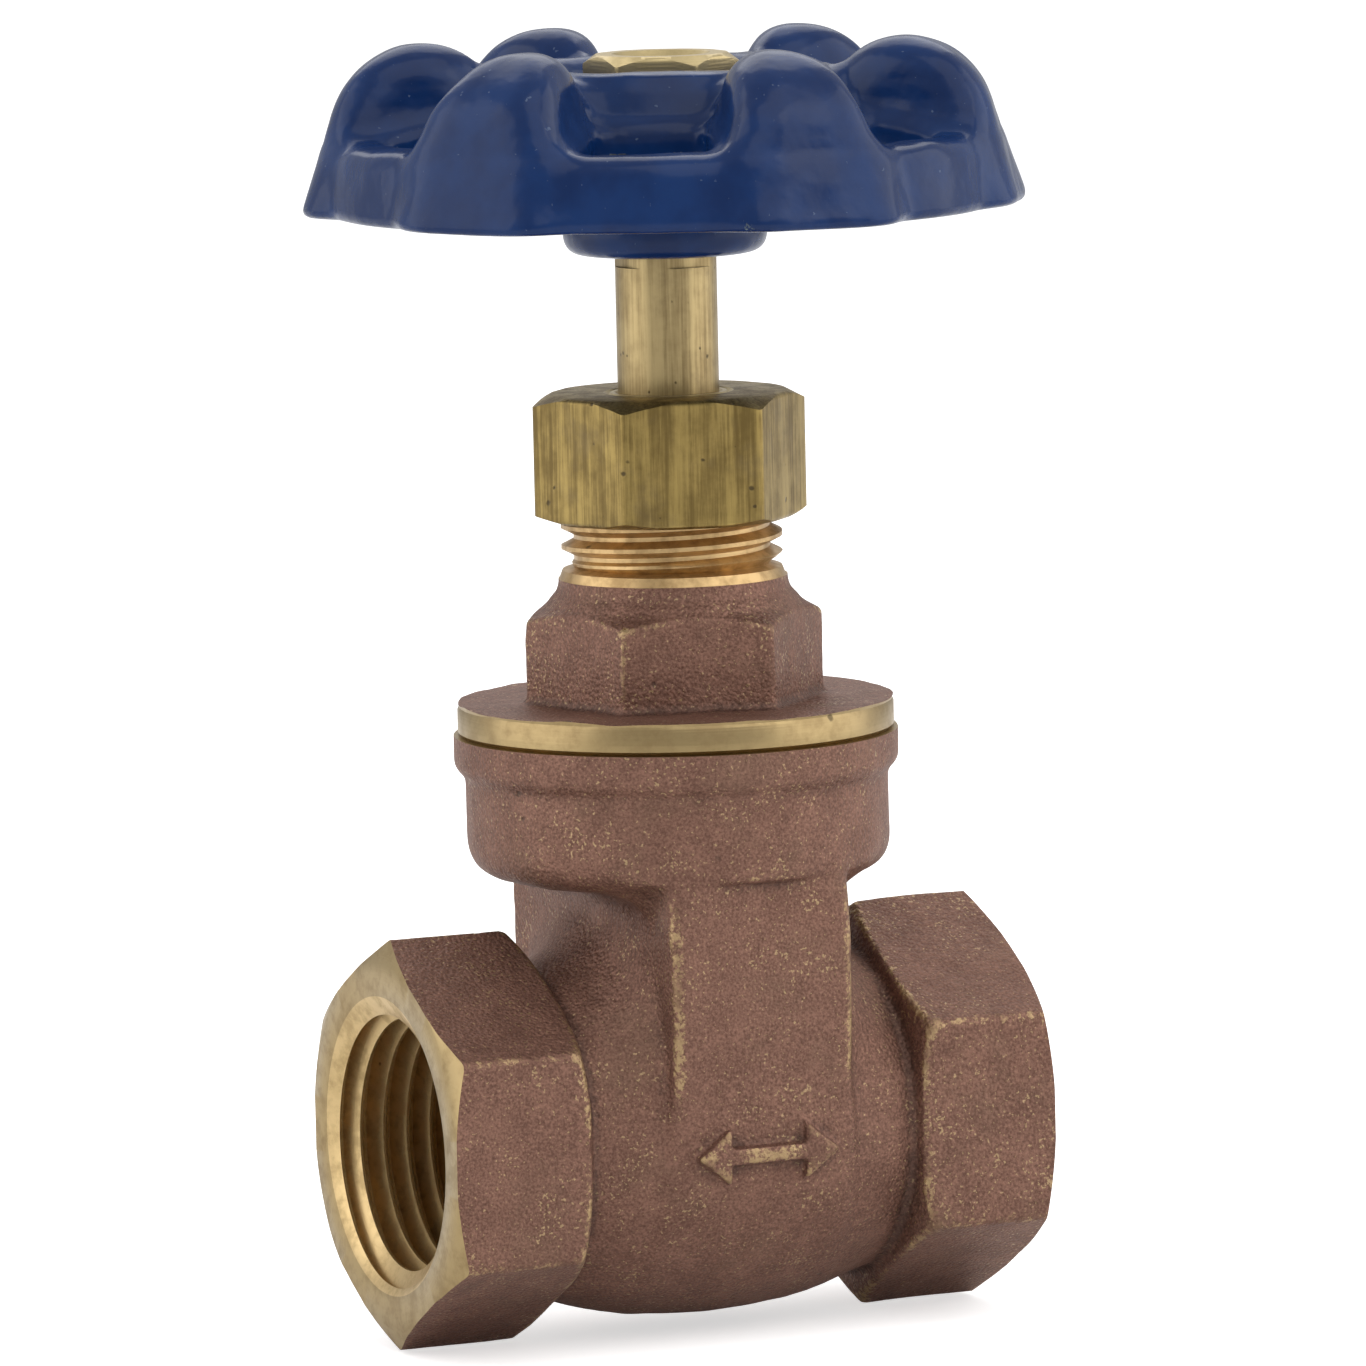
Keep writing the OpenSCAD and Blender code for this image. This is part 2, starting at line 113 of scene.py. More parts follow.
class Lattice:
    """Regular points that a shape's distance is sampled on."""

    def __init__(self, low: Sequence[float], high: Sequence[float], cell: float) -> None:
        """Lay the points out.

        Args:
            low: Lowest corner, in millimetres.
            high: Highest corner.
            cell: Spacing of the points.
        """
        self.low = np.array(low, np.float32)
        self.cell = cell
        axes = [low[i] + cell * np.arange(int((high[i] - low[i]) / cell) + 2) for i in range(3)]
        axes = [a.astype(np.float32) for a in axes]
        self.x, self.y, self.z = np.meshgrid(*axes, indexing="ij", sparse=True)
        self.shape = tuple(len(a) for a in axes)

    def lumps(self, size: float, height: float, seed: int) -> Array:
        """Smooth random unevenness, as a sand mould leaves.

        Args:
            size: Spacing of the lumps.
            height: Largest height of a lump.
            seed: Seed of the random draw.

        Returns:
            A field to add to a distance.
        """
        rng = np.random.default_rng(seed)
        counts = [int(n * self.cell / size) + 4 for n in self.shape]
        coarse = rng.uniform(-1.0, 1.0, counts).astype(np.float32)
        for axis in range(3):
            place = np.arange(self.shape[axis]) * self.cell / size
            base = place.astype(int)
            t = (place - base).astype(np.float32)
            t = t * t * (3 - 2 * t)
            spread = [1, 1, 1]
            spread[axis] = len(t)
            t = t.reshape(spread)
            low = np.take(coarse, base, axis=axis)
            coarse = low + (np.take(coarse, base + 1, axis=axis) - low) * t
        return coarse * height

    def sample(self, values: Array, points: Array) -> Array:
        """Read a field between the lattice's points.

        Args:
            values: Field on the lattice.
            points: Places to read, one row each, in millimetres.

        Returns:
            One value for each point.
        """
        place = (points - self.low) / self.cell
        place = np.clip(place, 0, np.array(self.shape) - 1.001)
        base = place.astype(int)
        t = place - base
        total = np.zeros(len(points))
        for corner in range(8):
            step = np.array([corner & 1, corner >> 1 & 1, corner >> 2 & 1])
            weight = np.prod(np.where(step == 1, t, 1 - t), axis=1)
            i, j, k = (base + step).T
            total += weight * values[i, j, k]
        return total

    def skin(self, values: Array) -> tuple[Array, Array]:
        """Mesh the zero surface of a field as one closed net of quads.

        Args:
            values: Field on the lattice, positive all round its outside.

        Returns:
            Vertices in millimetres, and quads of vertex numbers.
        """
        inside = values < 0
        cells = tuple(n - 1 for n in self.shape)
        count = np.zeros(cells, np.int8)
        for corner in range(8):
            window = tuple(slice(corner >> a & 1, (corner >> a & 1) + cells[a]) for a in range(3))
            count += inside[window]
        places = np.argwhere((count > 0) & (count < 8))
        number = np.full(cells, -1, np.int32)
        number[tuple(places.T)] = np.arange(len(places))
        total = np.zeros((len(places), 3))
        hits = np.zeros(len(places))
        for axis in range(3):
            one, two = [a for a in range(3) if a != axis]
            for corner in range(4):
                start = places.copy()
                start[:, one] += corner & 1
                start[:, two] += corner >> 1
                end = start.copy()
                end[:, axis] += 1
                a = values[tuple(start.T)]
                b = values[tuple(end.T)]
                cut = (a < 0) != (b < 0)
                t = np.where(cut, a / np.where(cut, a - b, 1), 0)
                point = start.astype(float)
                point[:, axis] += t
                total[cut] += point[cut]
                hits[cut] += 1
        vertices = self.low + self.cell * total / hits[:, None]
        quads = []
        for axis in range(3):
            one, two = [(1, 2), (2, 0), (0, 1)][axis]
            a = np.take(inside, range(0, self.shape[axis] - 1), axis=axis)
            b = np.take(inside, range(1, self.shape[axis]), axis=axis)
            edge = np.argwhere(a != b)
            starts_inside = a[tuple(edge.T)]
            ring = []
            for back_one, back_two in ((1, 1), (0, 1), (0, 0), (1, 0)):
                cell = edge.copy()
                cell[:, one] -= back_one
                cell[:, two] -= back_two
                ring.append(number[tuple(cell.T)])
            quad = np.stack(ring, axis=1)
            quad[~starts_inside] = quad[~starts_inside][:, ::-1]
            quads.append(quad)
        return self.settle(values, vertices), np.concatenate(quads)

    def settle(self, values: Array, vertices: Array) -> Array:
        """Draw vertices onto the zero surface along the field's slope."""
        slopes = np.gradient(values, self.cell)
        for _ in range(3):
            gap = self.sample(values, vertices)
            slope = np.stack([self.sample(s, vertices) for s in slopes], axis=1)
            length = np.maximum((slope ** 2).sum(axis=1), 0.05)
            move = -(gap / length)[:, None] * slope
            vertices = vertices + np.clip(move, -0.4 * self.cell, 0.4 * self.cell)
        return vertices

    def exposure(self, values: Array, reach: float) -> Array:
        """How far each place stands out: over 0 on outer edges and under 0 in corners.

        Args:
            values: Distance field of the solid.
            reach: Size of the neighbourhood that is looked at.

        Returns:
            Field of exposure, from about -0.5 to 0.5.
        """
        filled = np.clip(0.5 - values / self.cell, 0, 1).astype(np.float32)
        width = 2 * int(reach / self.cell / 2) + 1
        return 0.5 - box_blur(filled, width)


# ---------------------------------------------------------------------------
# Meshes
# ---------------------------------------------------------------------------

def mesh_piece(name: str, vertices: Array, faces: Array) -> bpy.types.Object:
    """Make an object from arrays.

    Args:
        name: Name of the object and its mesh.
        vertices: Points in millimetres.
        faces: Vertex numbers, all faces with the same number of corners.

    Returns:
        The new object, linked to the scene.
    """
    mesh = bpy.data.meshes.new(name)
    mesh.vertices.add(len(vertices))
    mesh.vertices.foreach_set("co", (np.asarray(vertices) * MM).astype(np.float32).ravel())
    corners = faces.shape[1]
    mesh.loops.add(len(faces) * corners)
    mesh.loops.foreach_set("vertex_index", faces.astype(np.int32).ravel())
    mesh.polygons.add(len(faces))
    mesh.polygons.foreach_set("loop_start", np.arange(len(faces), dtype=np.int32) * corners)
    mesh.update(calc_edges=True)
    mesh.validate()
    piece = bpy.data.objects.new(name, mesh)
    bpy.context.scene.collection.objects.link(piece)
    return piece


def clean_mesh(piece: bpy.types.Object, gap: float = 0.0005) -> None:
    """Merge points that coincide, drop empty faces and turn every face outwards.

    Args:
        piece: Mesh object to clean.
        gap: Largest distance between points that are merged, in millimetres.
    """
    work = bmesh.new()
    work.from_mesh(piece.data)
    bmesh.ops.remove_doubles(work, verts=work.verts, dist=gap * MM)
    bmesh.ops.dissolve_degenerate(work, edges=work.edges, dist=gap * MM)
    bmesh.ops.recalc_face_normals(work, faces=work.faces)
    work.to_mesh(piece.data)
    work.free()


def ring_solid(name: str, radius: Array, height: Array, hollow: bool,
               turn: float = 0.0) -> bpy.types.Object:
    """Make a closed solid round Z from rings of points.

    Args:
        name: Name of the object.
        radius: Radius of each point, one row for each ring, the last column meeting the first.
        height: Height of each point, shaped like radius.
        hollow: True joins the last ring to the first, and False closes both ends on the axis.
        turn: Angle of the first column, in degrees.

    Returns:
        The new object.
    """
    rings, columns = radius.shape
    angle = np.radians(turn) + np.linspace(0, 2 * np.pi, columns)
    vertices = np.stack([radius * np.cos(angle), radius * np.sin(angle), height], axis=2)
    vertices = vertices.reshape(-1, 3)
    number = np.arange(rings * columns).reshape(rings, columns)
    if hollow:
        number = np.vstack([number, number[:1]])
    a, b = number[:-1, :-1], number[:-1, 1:]
    c, d = number[1:, 1:], number[1:, :-1]
    faces = np.stack([a, b, c, d], axis=2).reshape(-1, 4)
    piece = mesh_piece(name, vertices, faces)
    clean_mesh(piece)
    return piece


def lathe(name: str, outline: Sequence[tuple[float, float]], hollow: bool = False,
          columns: int = 192) -> bpy.types.Object:
    """Turn an outline of (radius, height) points about Z.

    Args:
        name: Name of the object.
        outline: Points from the bottom up, starting and ending on the axis unless hollow.
        hollow: True where the outline closes on itself round a bore.
        columns: Number of segments round the axis.

    Returns:
        The new object.
    """
    points = np.array(outline, float)
    spread = np.ones((1, columns + 1))
    return ring_solid(name, points[:, :1] * spread, points[:, 1:] * spread, hollow)


def arc(centre_r: float, centre_z: float, radius: float, start: float, end: float,
        steps: int = 6) -> list[tuple[float, float]]:
    """Points of an arc in an outline, with its angles in degrees."""
    angles = [math.radians(start + (end - start) * i / steps) for i in range(steps + 1)]
    return [(centre_r + radius * math.cos(a), centre_z + radius * math.sin(a)) for a in angles]


@dataclass(frozen=True)
class Thread:
    """A V thread round Z.

    Attributes:
        root: Radius of the thread's floor.
        crest: Radius of its crests.
        pitch: Distance between crests.
        low: Height where it starts.
        high: Height where it ends.
        hand: 1 for a right-hand thread and -1 for a left-hand one.
        taper: Change of radius for each millimetre of height.
        land: Share of the pitch that is flat at the crest, and at the root.
        fade_low: Length over which it fades out at its lower end.
        fade_high: Length over which it fades out at its upper end.
    """

    root: float
    crest: float
    pitch: float
    low: float
    high: float
    hand: int = 1
    taper: float = 0.0
    land: float = 0.12
    fade_low: float = 0.0
    fade_high: float = 0.0

    def radius_at(self, height: Array, turn: Array) -> Array:
        """Radius of the thread's surface.

        Args:
            height: Heights of the points.
            turn: Angle of the points, as a share of a full turn.

        Returns:
            Radius of each point.
        """
        phase = np.mod((height - self.low) / self.pitch - self.hand * turn, 1.0)
        rise = 0.5 - self.land
        shape = np.clip((np.abs(phase - 0.5) - self.land / 2) / rise, 0, 1)
        fade = np.ones_like(height)
        if self.fade_low:
            fade = np.minimum(fade, np.clip((height - self.low) / self.fade_low, 0, 1))
        if self.fade_high:
            fade = np.minimum(fade, np.clip((self.high - height) / self.fade_high, 0, 1))
        depth = (self.crest - self.root) * fade
        return self.root + depth * (1 - shape) + self.taper * (height - self.low)

    def rings(self, columns: int = 192) -> tuple[Array, Array]:
        """Rings of points that follow the thread's own edges.

        Args:
            columns: Number of segments round the axis.

        Returns:
            Radius and height of the points, one row for each ring.
        """
        turn = np.linspace(0, 1, columns + 1)
        count = int((self.high - self.low) / self.pitch) + 3
        edges = [0.0, self.land / 2, 0.25, 0.5 - self.land / 2, 0.5 + self.land / 2,
                 0.75, 1 - self.land / 2]
        marks = np.array([k + e for k in range(-2, count) for e in edges])
        height = self.low + self.pitch * (marks[:, None] + self.hand * turn[None, :])
        height = np.clip(height, self.low, self.high)
        spread = np.ones_like(height) * turn[None, :]
        return self.radius_at(height, spread), height


def stack_rings(parts: Iterable[tuple[Array, Array]]) -> tuple[Array, Array]:
    """Put groups of rings one after another."""
    groups = list(parts)
    return np.vstack([g[0] for g in groups]), np.vstack([g[1] for g in groups])


def plain_rings(outline: Sequence[tuple[float, float]], columns: int = 192) -> tuple[Array, Array]:
    """Round rings from (radius, height) points, to stack with a thread's rings."""
    points = np.array(outline, float)
    spread = np.ones((1, columns + 1))
    return points[:, :1] * spread, points[:, 1:] * spread


def prism(name: str, outline: Sequence[tuple[float, float]], low: float, high: float,
          frame_to: Matrix) -> bpy.types.Object:
    """Make a straight prism from an outline in its own XY plane.

    Args:
        name: Name of the object.
        outline: Corners of the outline.
        low: Lower end along its own Z.
        high: Upper end along its own Z.
        frame_to: Turns the prism's own axes into the valve's.

    Returns:
        The new object.
    """
    work = bmesh.new()
    base = [work.verts.new((x * MM, y * MM, low * MM)) for x, y in outline]
    top = [work.verts.new((x * MM, y * MM, high * MM)) for x, y in outline]
    count = len(outline)
    work.faces.new(base[::-1])
    work.faces.new(top)
    for i in range(count):
        work.faces.new((base[i], base[(i + 1) % count], top[(i + 1) % count], top[i]))
    bmesh.ops.recalc_face_normals(work, faces=work.faces)
    mesh = bpy.data.meshes.new(name)
    work.to_mesh(mesh)
    work.free()
    mesh.transform(frame_to)
    piece = bpy.data.objects.new(name, mesh)
    bpy.context.scene.collection.objects.link(piece)
    return piece


def box_piece(name: str, low: Sequence[float], high: Sequence[float]) -> bpy.types.Object:
    """Make a box between two corners, used only as a cutter."""
    outline = [(low[0], low[1]), (high[0], low[1]), (high[0], high[1]), (low[0], high[1])]
    return prism(name, outline, low[2], high[2], Matrix.Identity(4))


TO_PIPE = Matrix.Rotation(math.radians(90), 4, "Y")       # own Z becomes the valve's +X
TO_PIPE_BACK = Matrix.Rotation(math.radians(-90), 4, "Y")  # own Z becomes the valve's -X
FACE_ON = Matrix.Rotation(math.radians(90), 4, "X")        # own XY plane becomes XZ


def carve(piece: bpy.types.Object, cutter: bpy.types.Object,
          material: Optional[bpy.types.Material] = None, operation: str = "DIFFERENCE") -> None:
    """Machine a piece with a cutter, and leave the cutter's material on the new faces.

    Args:
        piece: Mesh object that is changed.
        cutter: Closed mesh object, removed afterwards.
        material: Material of the machined faces.
        operation: DIFFERENCE, UNION or INTERSECT.
    """
    if material:
        cutter.data.materials.clear()
        cutter.data.materials.append(material)
    step = piece.modifiers.new("machining", "BOOLEAN")
    step.operation = operation
    step.solver = "MANIFOLD"
    step.material_mode = "TRANSFER"
    step.object = cutter
    graph = bpy.context.evaluated_depsgraph_get()
    result = bpy.data.meshes.new_from_object(piece.evaluated_get(graph), depsgraph=graph)
    piece.modifiers.remove(step)
    old = piece.data
    if not len(result.polygons):
        raise RuntimeError(f"cutting {piece.name} with {cutter.name} left nothing")
    piece.data = result
    result.name = piece.name
    bpy.data.meshes.remove(old)
    bpy.data.objects.remove(cutter)


def soften(piece: bpy.types.Object, width: float, angle: float = 25.0, segments: int = 2) -> None:
    """Round a piece's sharp edges for good.

    Args:
        piece: Mesh object that is changed.
        width: Width of the rounding, in millimetres.
        angle: Smallest angle of an edge that is rounded, in degrees.
        segments: Number of steps in the rounding.
    """
    step = piece.modifiers.new("edges", "BEVEL")
    step.width = width * MM
    step.segments = segments
    step.limit_method = "ANGLE"
    step.angle_limit = math.radians(angle)
    step.use_clamp_overlap = True
    graph = bpy.context.evaluated_depsgraph_get()
    result = bpy.data.meshes.new_from_object(piece.evaluated_get(graph), depsgraph=graph)
    piece.modifiers.remove(step)
    old = piece.data
    piece.data = result
    bpy.data.meshes.remove(old)


def finish_shading(piece: bpy.types.Object, angle: float = 32.0) -> None:
    """Shade a piece smooth, except across edges sharper than the angle."""
    piece.data.shade_smooth()
    piece.data.set_sharp_from_angle(angle=math.radians(angle))


def write_attribute(piece: bpy.types.Object, name: str, values: Array) -> None:
    """Store one number for each vertex, for a material to read."""
    layer = piece.data.attributes.new(name, "FLOAT", "POINT")
    layer.data.foreach_set("value", values.astype(np.float32))


# ---------------------------------------------------------------------------
# Shader node groups
# ---------------------------------------------------------------------------

class Nodes:
    """Small helper that adds and links shader nodes in one node tree."""

    def __init__(self, tree: bpy.types.NodeTree) -> None:
        """Keep the tree that nodes are added to."""
        self.tree = tree

    def add(self, kind: str, settings: Optional[dict] = None, **inputs: object) -> bpy.types.Node:
        """Add a node.

        Args:
            kind: Blender's name for the node's type.
            settings: Properties to set on the node.
            inputs: Values or sockets for its inputs, with spaces written as underscores.

        Returns:
            The node.
        """
        node = self.tree.nodes.new(kind)
        for key, value in (settings or {}).items():
            setattr(node, key, value)
        for key, value in inputs.items():
            self.feed(node.inputs[key.replace("_", " ")], value)
        return node

    def feed(self, socket: bpy.types.NodeSocket, value: object) -> None:
        """Link a socket, or set its value."""
        if isinstance(value, bpy.types.NodeSocket):
            self.tree.links.new(value, socket)
        elif socket.type == "RGBA":
            socket.default_value = (*value, 1.0) if len(value) == 3 else value
        else:
            socket.default_value = value

    def math(self, operation: str, *values: object) -> bpy.types.NodeSocket:
        """Combine numbers or sockets with a maths operation, clamping nothing."""
        node = self.add("ShaderNodeMath", {"operation": operation})
        for socket, value in zip(node.inputs, values):
            self.feed(socket, value)
        return node.outputs[0]

    def ramp(self, value: object, low: float, high: float) -> bpy.types.NodeSocket:
        """Smooth step of a value, from 0 at low to 1 at high."""
        node = self.add("ShaderNodeMapRange", {"interpolation_type": "SMOOTHSTEP"})
        self.feed(node.inputs["Value"], value)
        self.feed(node.inputs["From Min"], low)
        self.feed(node.inputs["From Max"], high)
        return node.outputs["Result"]

    def between(self, amount: object, first: object, second: object,
                blend: str = "MIX") -> bpy.types.NodeSocket:
        """Mix two colours.

        Args:
            amount: Share of the second colour.
            first: Colour or socket at 0.
            second: Colour or socket at 1.
            blend: Blend type of the Mix node.

        Returns:
            The mixed colour's socket.
        """
        node = self.add("ShaderNodeMix", {"data_type": "RGBA", "blend_type": blend})
        self.feed(node.inputs[0], amount)
        self.feed(node.inputs[6], first)
        self.feed(node.inputs[7], second)
        return node.outputs[2]

    def place(self) -> bpy.types.NodeSocket:
        """The object's own coordinates, in metres."""
        return self.add("ShaderNodeTexCoord").outputs["Object"]

    def noise(self, place: object, per_metre: float, detail: float = 2.0,
              roughness: float = 0.5) -> bpy.types.NodeSocket:
        """Cloudy noise with that many features in a metre."""
        node = self.add("ShaderNodeTexNoise", {"noise_dimensions": "3D"}, Vector=place,
                        Scale=per_metre, Detail=detail, Roughness=roughness)
        return node.outputs["Fac"]

    def group(self, tree: bpy.types.NodeTree, **inputs: object) -> bpy.types.Node:
        """Place a node group with its own values."""
        node = self.add("ShaderNodeGroup", {"node_tree": tree})
        for key, value in inputs.items():
            self.feed(node.inputs[key.replace("_", " ")], value)
        return node


def effect_group(name: str, inputs: dict[str, float], outputs: Sequence[str],
                 build: Callable[[Nodes, dict], dict]) -> bpy.types.NodeTree:
    """Build a shader node group once.

    Args:
        name: Name of the group.
        inputs: Its number inputs and their starting values.
        outputs: Its number outputs.
        build: Adds the nodes, taking the helper and the input sockets, and gives the outputs.

    Returns:
        The group's node tree.
    """
    if name in bpy.data.node_groups:
        return bpy.data.node_groups[name]
    tree = bpy.data.node_groups.new(name, "ShaderNodeTree")
    for key, value in inputs.items():
        socket = tree.interface.new_socket(key, in_out="INPUT", socket_type="NodeSocketFloat")
        socket.default_value = value
    for key in outputs:
        tree.interface.new_socket(key, in_out="OUTPUT", socket_type="NodeSocketFloat")
    nodes = Nodes(tree)
    enter = tree.nodes.new("NodeGroupInput")
    leave = tree.nodes.new("NodeGroupOutput")
    results = build(nodes, {s.name: s for s in enter.outputs if s.name})
    for key, socket in results.items():
        nodes.feed(leave.inputs[key], socket)
    return tree


def cast_grain() -> bpy.types.NodeTree:
    """Sand-cast skin: rounded grains, wide unevenness and scattered bright specks."""
    def build(n: Nodes, given: dict) -> dict:
        """Fill the group."""
        place = n.place()
        grains = n.add("ShaderNodeTexVoronoi", {"feature": "SMOOTH_F1"}, Vector=place,
                       Scale=given["Grains"], Smoothness=0.5).outputs["Distance"]
        fine = n.noise(place, 5200.0, 3.0, 0.6)
        broad = n.noise(place, 420.0, 4.0, 0.6)
        height = n.math("MULTIPLY_ADD", grains, -0.8, n.math("MULTIPLY", fine, 0.7))
        height = n.math("MULTIPLY_ADD", broad, 0.6, height)
        patches = n.ramp(n.noise(place, 260.0, 4.0, 0.7), 0.46, 0.68)
        specks = n.math("MULTIPLY_ADD", patches, 0.09, n.noise(place, 4200.0, 1.5, 0.5))
        return {"Height": height, "Tone": n.math("MULTIPLY_ADD", fine, 0.72, n.math(
            "MULTIPLY", broad, 0.28)), "Specks": n.ramp(specks, 0.66, 0.74)}
    return effect_group("cast_grain", {"Grains": 3300.0}, ["Height", "Tone", "Specks"], build)


def edge_wear_and_painted_shade() -> bpy.types.NodeTree:
    """Wear on standing edges and painted shade in corners, from the mesh's exposure attribute."""
    def build(n: Nodes, given: dict) -> dict:
        """Fill the group."""
        exposure = n.add("ShaderNodeAttribute", {"attribute_name": "exposure"}).outputs["Fac"]
        place = n.place()
        breakup = n.noise(place, 2300.0, 4.0, 0.75)
        capped = n.math("MINIMUM", exposure, 0.17)
        moved = n.math("MULTIPLY_ADD", n.math("SUBTRACT", breakup, 0.5), given["Breakup"], capped)
        start = given["Start"]
        wear = n.ramp(moved, start, n.math("ADD", start, given["Width"]))
        patches = n.ramp(n.noise(place, 420.0, 3.0, 0.6), 0.36, 0.56)
        wear = n.math("MULTIPLY", wear, n.math("MULTIPLY_ADD", patches, 0.8, 0.2))
        # painted shade: corners, where the exposure is below 0, are marked for darkening the colour
        painted_corner_shade = n.ramp(n.math("MULTIPLY", moved, -1.0), 0.03, 0.2)
        return {"Wear": wear, "PaintedShade": painted_corner_shade}
    return effect_group("edge_wear_and_painted_shade", {"Start": 0.13, "Width": 0.05, "Breakup": 0.4},
                        ["Wear", "PaintedShade"], build)


def turned_rings() -> bpy.types.NodeTree:
    """Fine rings that a lathe tool leaves about the Z axis, or about X for end faces."""
    def build(n: Nodes, given: dict) -> dict:
        """Fill the group."""
        split = n.add("ShaderNodeSeparateXYZ", Vector=n.place())
        x, y, z = split.outputs
        along = n.math("ADD", n.math("MULTIPLY", x, given["Along X"]),
                       n.math("MULTIPLY", z, n.math("SUBTRACT", 1.0, given["Along X"])))
        side = n.math("ADD", n.math("MULTIPLY", z, given["Along X"]),
                      n.math("MULTIPLY", x, n.math("SUBTRACT", 1.0, given["Along X"])))
        radius = n.math("SQRT", n.math("ADD", n.math("MULTIPLY", side, side),
                                       n.math("MULTIPLY", y, y)))
        spot = n.add("ShaderNodeCombineXYZ", X=n.math("MULTIPLY", radius, given["Rings"]),
                     Y=n.math("MULTIPLY", along, given["Rings"]))
        rings = n.noise(spot.outputs[0], 1.0, 2.0, 0.5)
        return {"Height": rings}
    return effect_group("turned_rings", {"Rings": 9000.0, "Along X": 0.0}, ["Height"], build)


def drawn_streaks() -> bpy.types.NodeTree:
    """Fine lines along Z that drawing a bar through a die leaves on it."""
    def build(n: Nodes, given: dict) -> dict:
        """Fill the group."""
        shrink = n.add("ShaderNodeMapping", Vector=n.place())
        shrink.inputs["Scale"].default_value = (1.0, 1.0, 0.035)
        lines = n.noise(shrink.outputs[0], given["Lines"], 3.0, 0.65)
        wide = n.noise(shrink.outputs[0], 700.0, 2.0, 0.5)
        return {"Height": lines, "Tone": n.math("MULTIPLY_ADD", wide, 0.5, n.math(
            "MULTIPLY", lines, 0.5))}
    return effect_group("drawn_streaks", {"Lines": 4200.0}, ["Height", "Tone"], build)


def handling_marks() -> bpy.types.NodeTree:
    """Dark specks, small pits and soft stains of a part that has been handled and stored."""
    def build(n: Nodes, given: dict) -> dict:
        """Fill the group."""
        place = n.place()
        bent = n.add("ShaderNodeVectorMath", {"operation": "MULTIPLY_ADD"})
        cloud = n.add("ShaderNodeTexNoise", Vector=place, Scale=900.0)
        n.feed(bent.inputs[0], cloud.outputs["Color"])
        n.feed(bent.inputs[1], (0.0006, 0.0006, 0.0006))
        n.feed(bent.inputs[2], place)
        cells = n.add("ShaderNodeTexVoronoi", {"feature": "F1"}, Vector=bent.outputs[0],
                      Scale=given["Pits"], Randomness=1.0)
        draw = n.add("ShaderNodeSeparateColor", Color=cells.outputs["Color"])
        size = n.math("MULTIPLY_ADD", draw.outputs[1], 0.16, 0.05)
        pits = n.math("SUBTRACT", 1.0, n.ramp(n.math("SUBTRACT", cells.outputs["Distance"], size),
                                              -0.07, 0.06))
        chosen = n.math("MULTIPLY", pits, n.math("LESS_THAN", draw.outputs[0], given["Share"]))
        stains = n.ramp(n.noise(place, given["Stains"], 5.0, 0.65), 0.5, 0.72)
        return {"Pits": chosen, "Stains": stains}
    return effect_group("handling_marks", {"Pits": 900.0, "Share": 0.2, "Stains": 190.0},
                        ["Pits", "Stains"], build)


# ---------------------------------------------------------------------------
# Finishes
# ---------------------------------------------------------------------------

Colour = tuple[float, float, float]


def new_material(name: str) -> tuple[bpy.types.Material, Nodes, bpy.types.Node]:
    """Start a material with an empty Principled shader.

    Args:
        name: Name of the material.

    Returns:
        The material, a helper for its nodes, and its Principled node.
    """
    material = bpy.data.materials.new(name)
    material.use_nodes = True
    material.node_tree.nodes.clear()
    nodes = Nodes(material.node_tree)
    shader = nodes.add("ShaderNodeBsdfPrincipled")
    leave = nodes.add("ShaderNodeOutputMaterial")
    nodes.tree.links.new(shader.outputs[0], leave.inputs["Surface"])
    return material, nodes, shader


def add_bump(nodes: Nodes, shader: bpy.types.Node, height: object, depth: float) -> None:
    """Feed the shader's Normal from a bump.

    Args:
        nodes: Helper of the material.
        shader: Its Principled node.
        height: Socket with the height, about 0 to 1.
        depth: Height of a full step, in millimetres.
    """
    bump = nodes.add("ShaderNodeBump", Height=height, Distance=depth * MM, Strength=1.0)
    nodes.feed(shader.inputs["Normal"], bump.outputs["Normal"])


@dataclass(frozen=True)
class CastBronze:
    """Sand-cast bronze with a tumbled, tarnished skin.

    Attributes:
        name: Name of the material.
        dark: Colour in the grain's hollows.
        light: Colour on the grain's tops.
        worn: Colour where the skin is rubbed through.
        depth: Height of the grain, in millimetres.
        wear_start: Exposure at which wear starts.
    """

    name: str = "cast_bronze"
    dark: Colour = (0.132, 0.064, 0.045)
    light: Colour = (0.282, 0.148, 0.105)
    worn: Colour = (0.48, 0.34, 0.175)
    depth: float = 0.085
    wear_start: float = 0.125

    def build(self) -> bpy.types.Material:
        """Make the material."""
        material, n, shader = new_material(self.name)
        grain = n.group(cast_grain())
        edges = n.group(edge_wear_and_painted_shade(), Start=self.wear_start, Breakup=0.42)
        marks = n.group(handling_marks(), Pits=560.0, Share=0.05, Stains=150.0)
        skin = n.between(n.ramp(grain.outputs["Tone"], 0.34, 0.68), self.dark, self.light)
        skin = n.between(n.math("MULTIPLY", marks.outputs["Stains"], 0.3), skin,
                         (0.155, 0.098, 0.062))
        skin = n.between(n.math("MULTIPLY", marks.outputs["Pits"], 0.6), skin, (0.05, 0.035, 0.026))
        skin = n.between(n.math("MULTIPLY", grain.outputs["Specks"], 0.65), skin, self.worn)
        # painted shade: corners and creases of the casting are darkened to a near-black brown
        skin = n.between(n.math("MULTIPLY", edges.outputs["PaintedShade"], 0.6), skin, (0.05, 0.03, 0.024))
        skin = n.between(n.math("MULTIPLY", edges.outputs["Wear"], 0.8), skin, self.worn)
        n.feed(shader.inputs["Base Color"], skin)
        metal = n.math("MULTIPLY_ADD", edges.outputs["Wear"], 0.2, 0.7)
        n.feed(shader.inputs["Metallic"], metal)
        rough = n.math("MULTIPLY_ADD", grain.outputs["Specks"], -0.18, 0.53)
        rough = n.math("MULTIPLY_ADD", edges.outputs["Wear"], -0.12, rough)
        n.feed(shader.inputs["Roughness"], rough)
        height = n.math("MULTIPLY_ADD", marks.outputs["Pits"], -0.8, grain.outputs["Height"])
        add_bump(n, shader, height, self.depth)
        return material


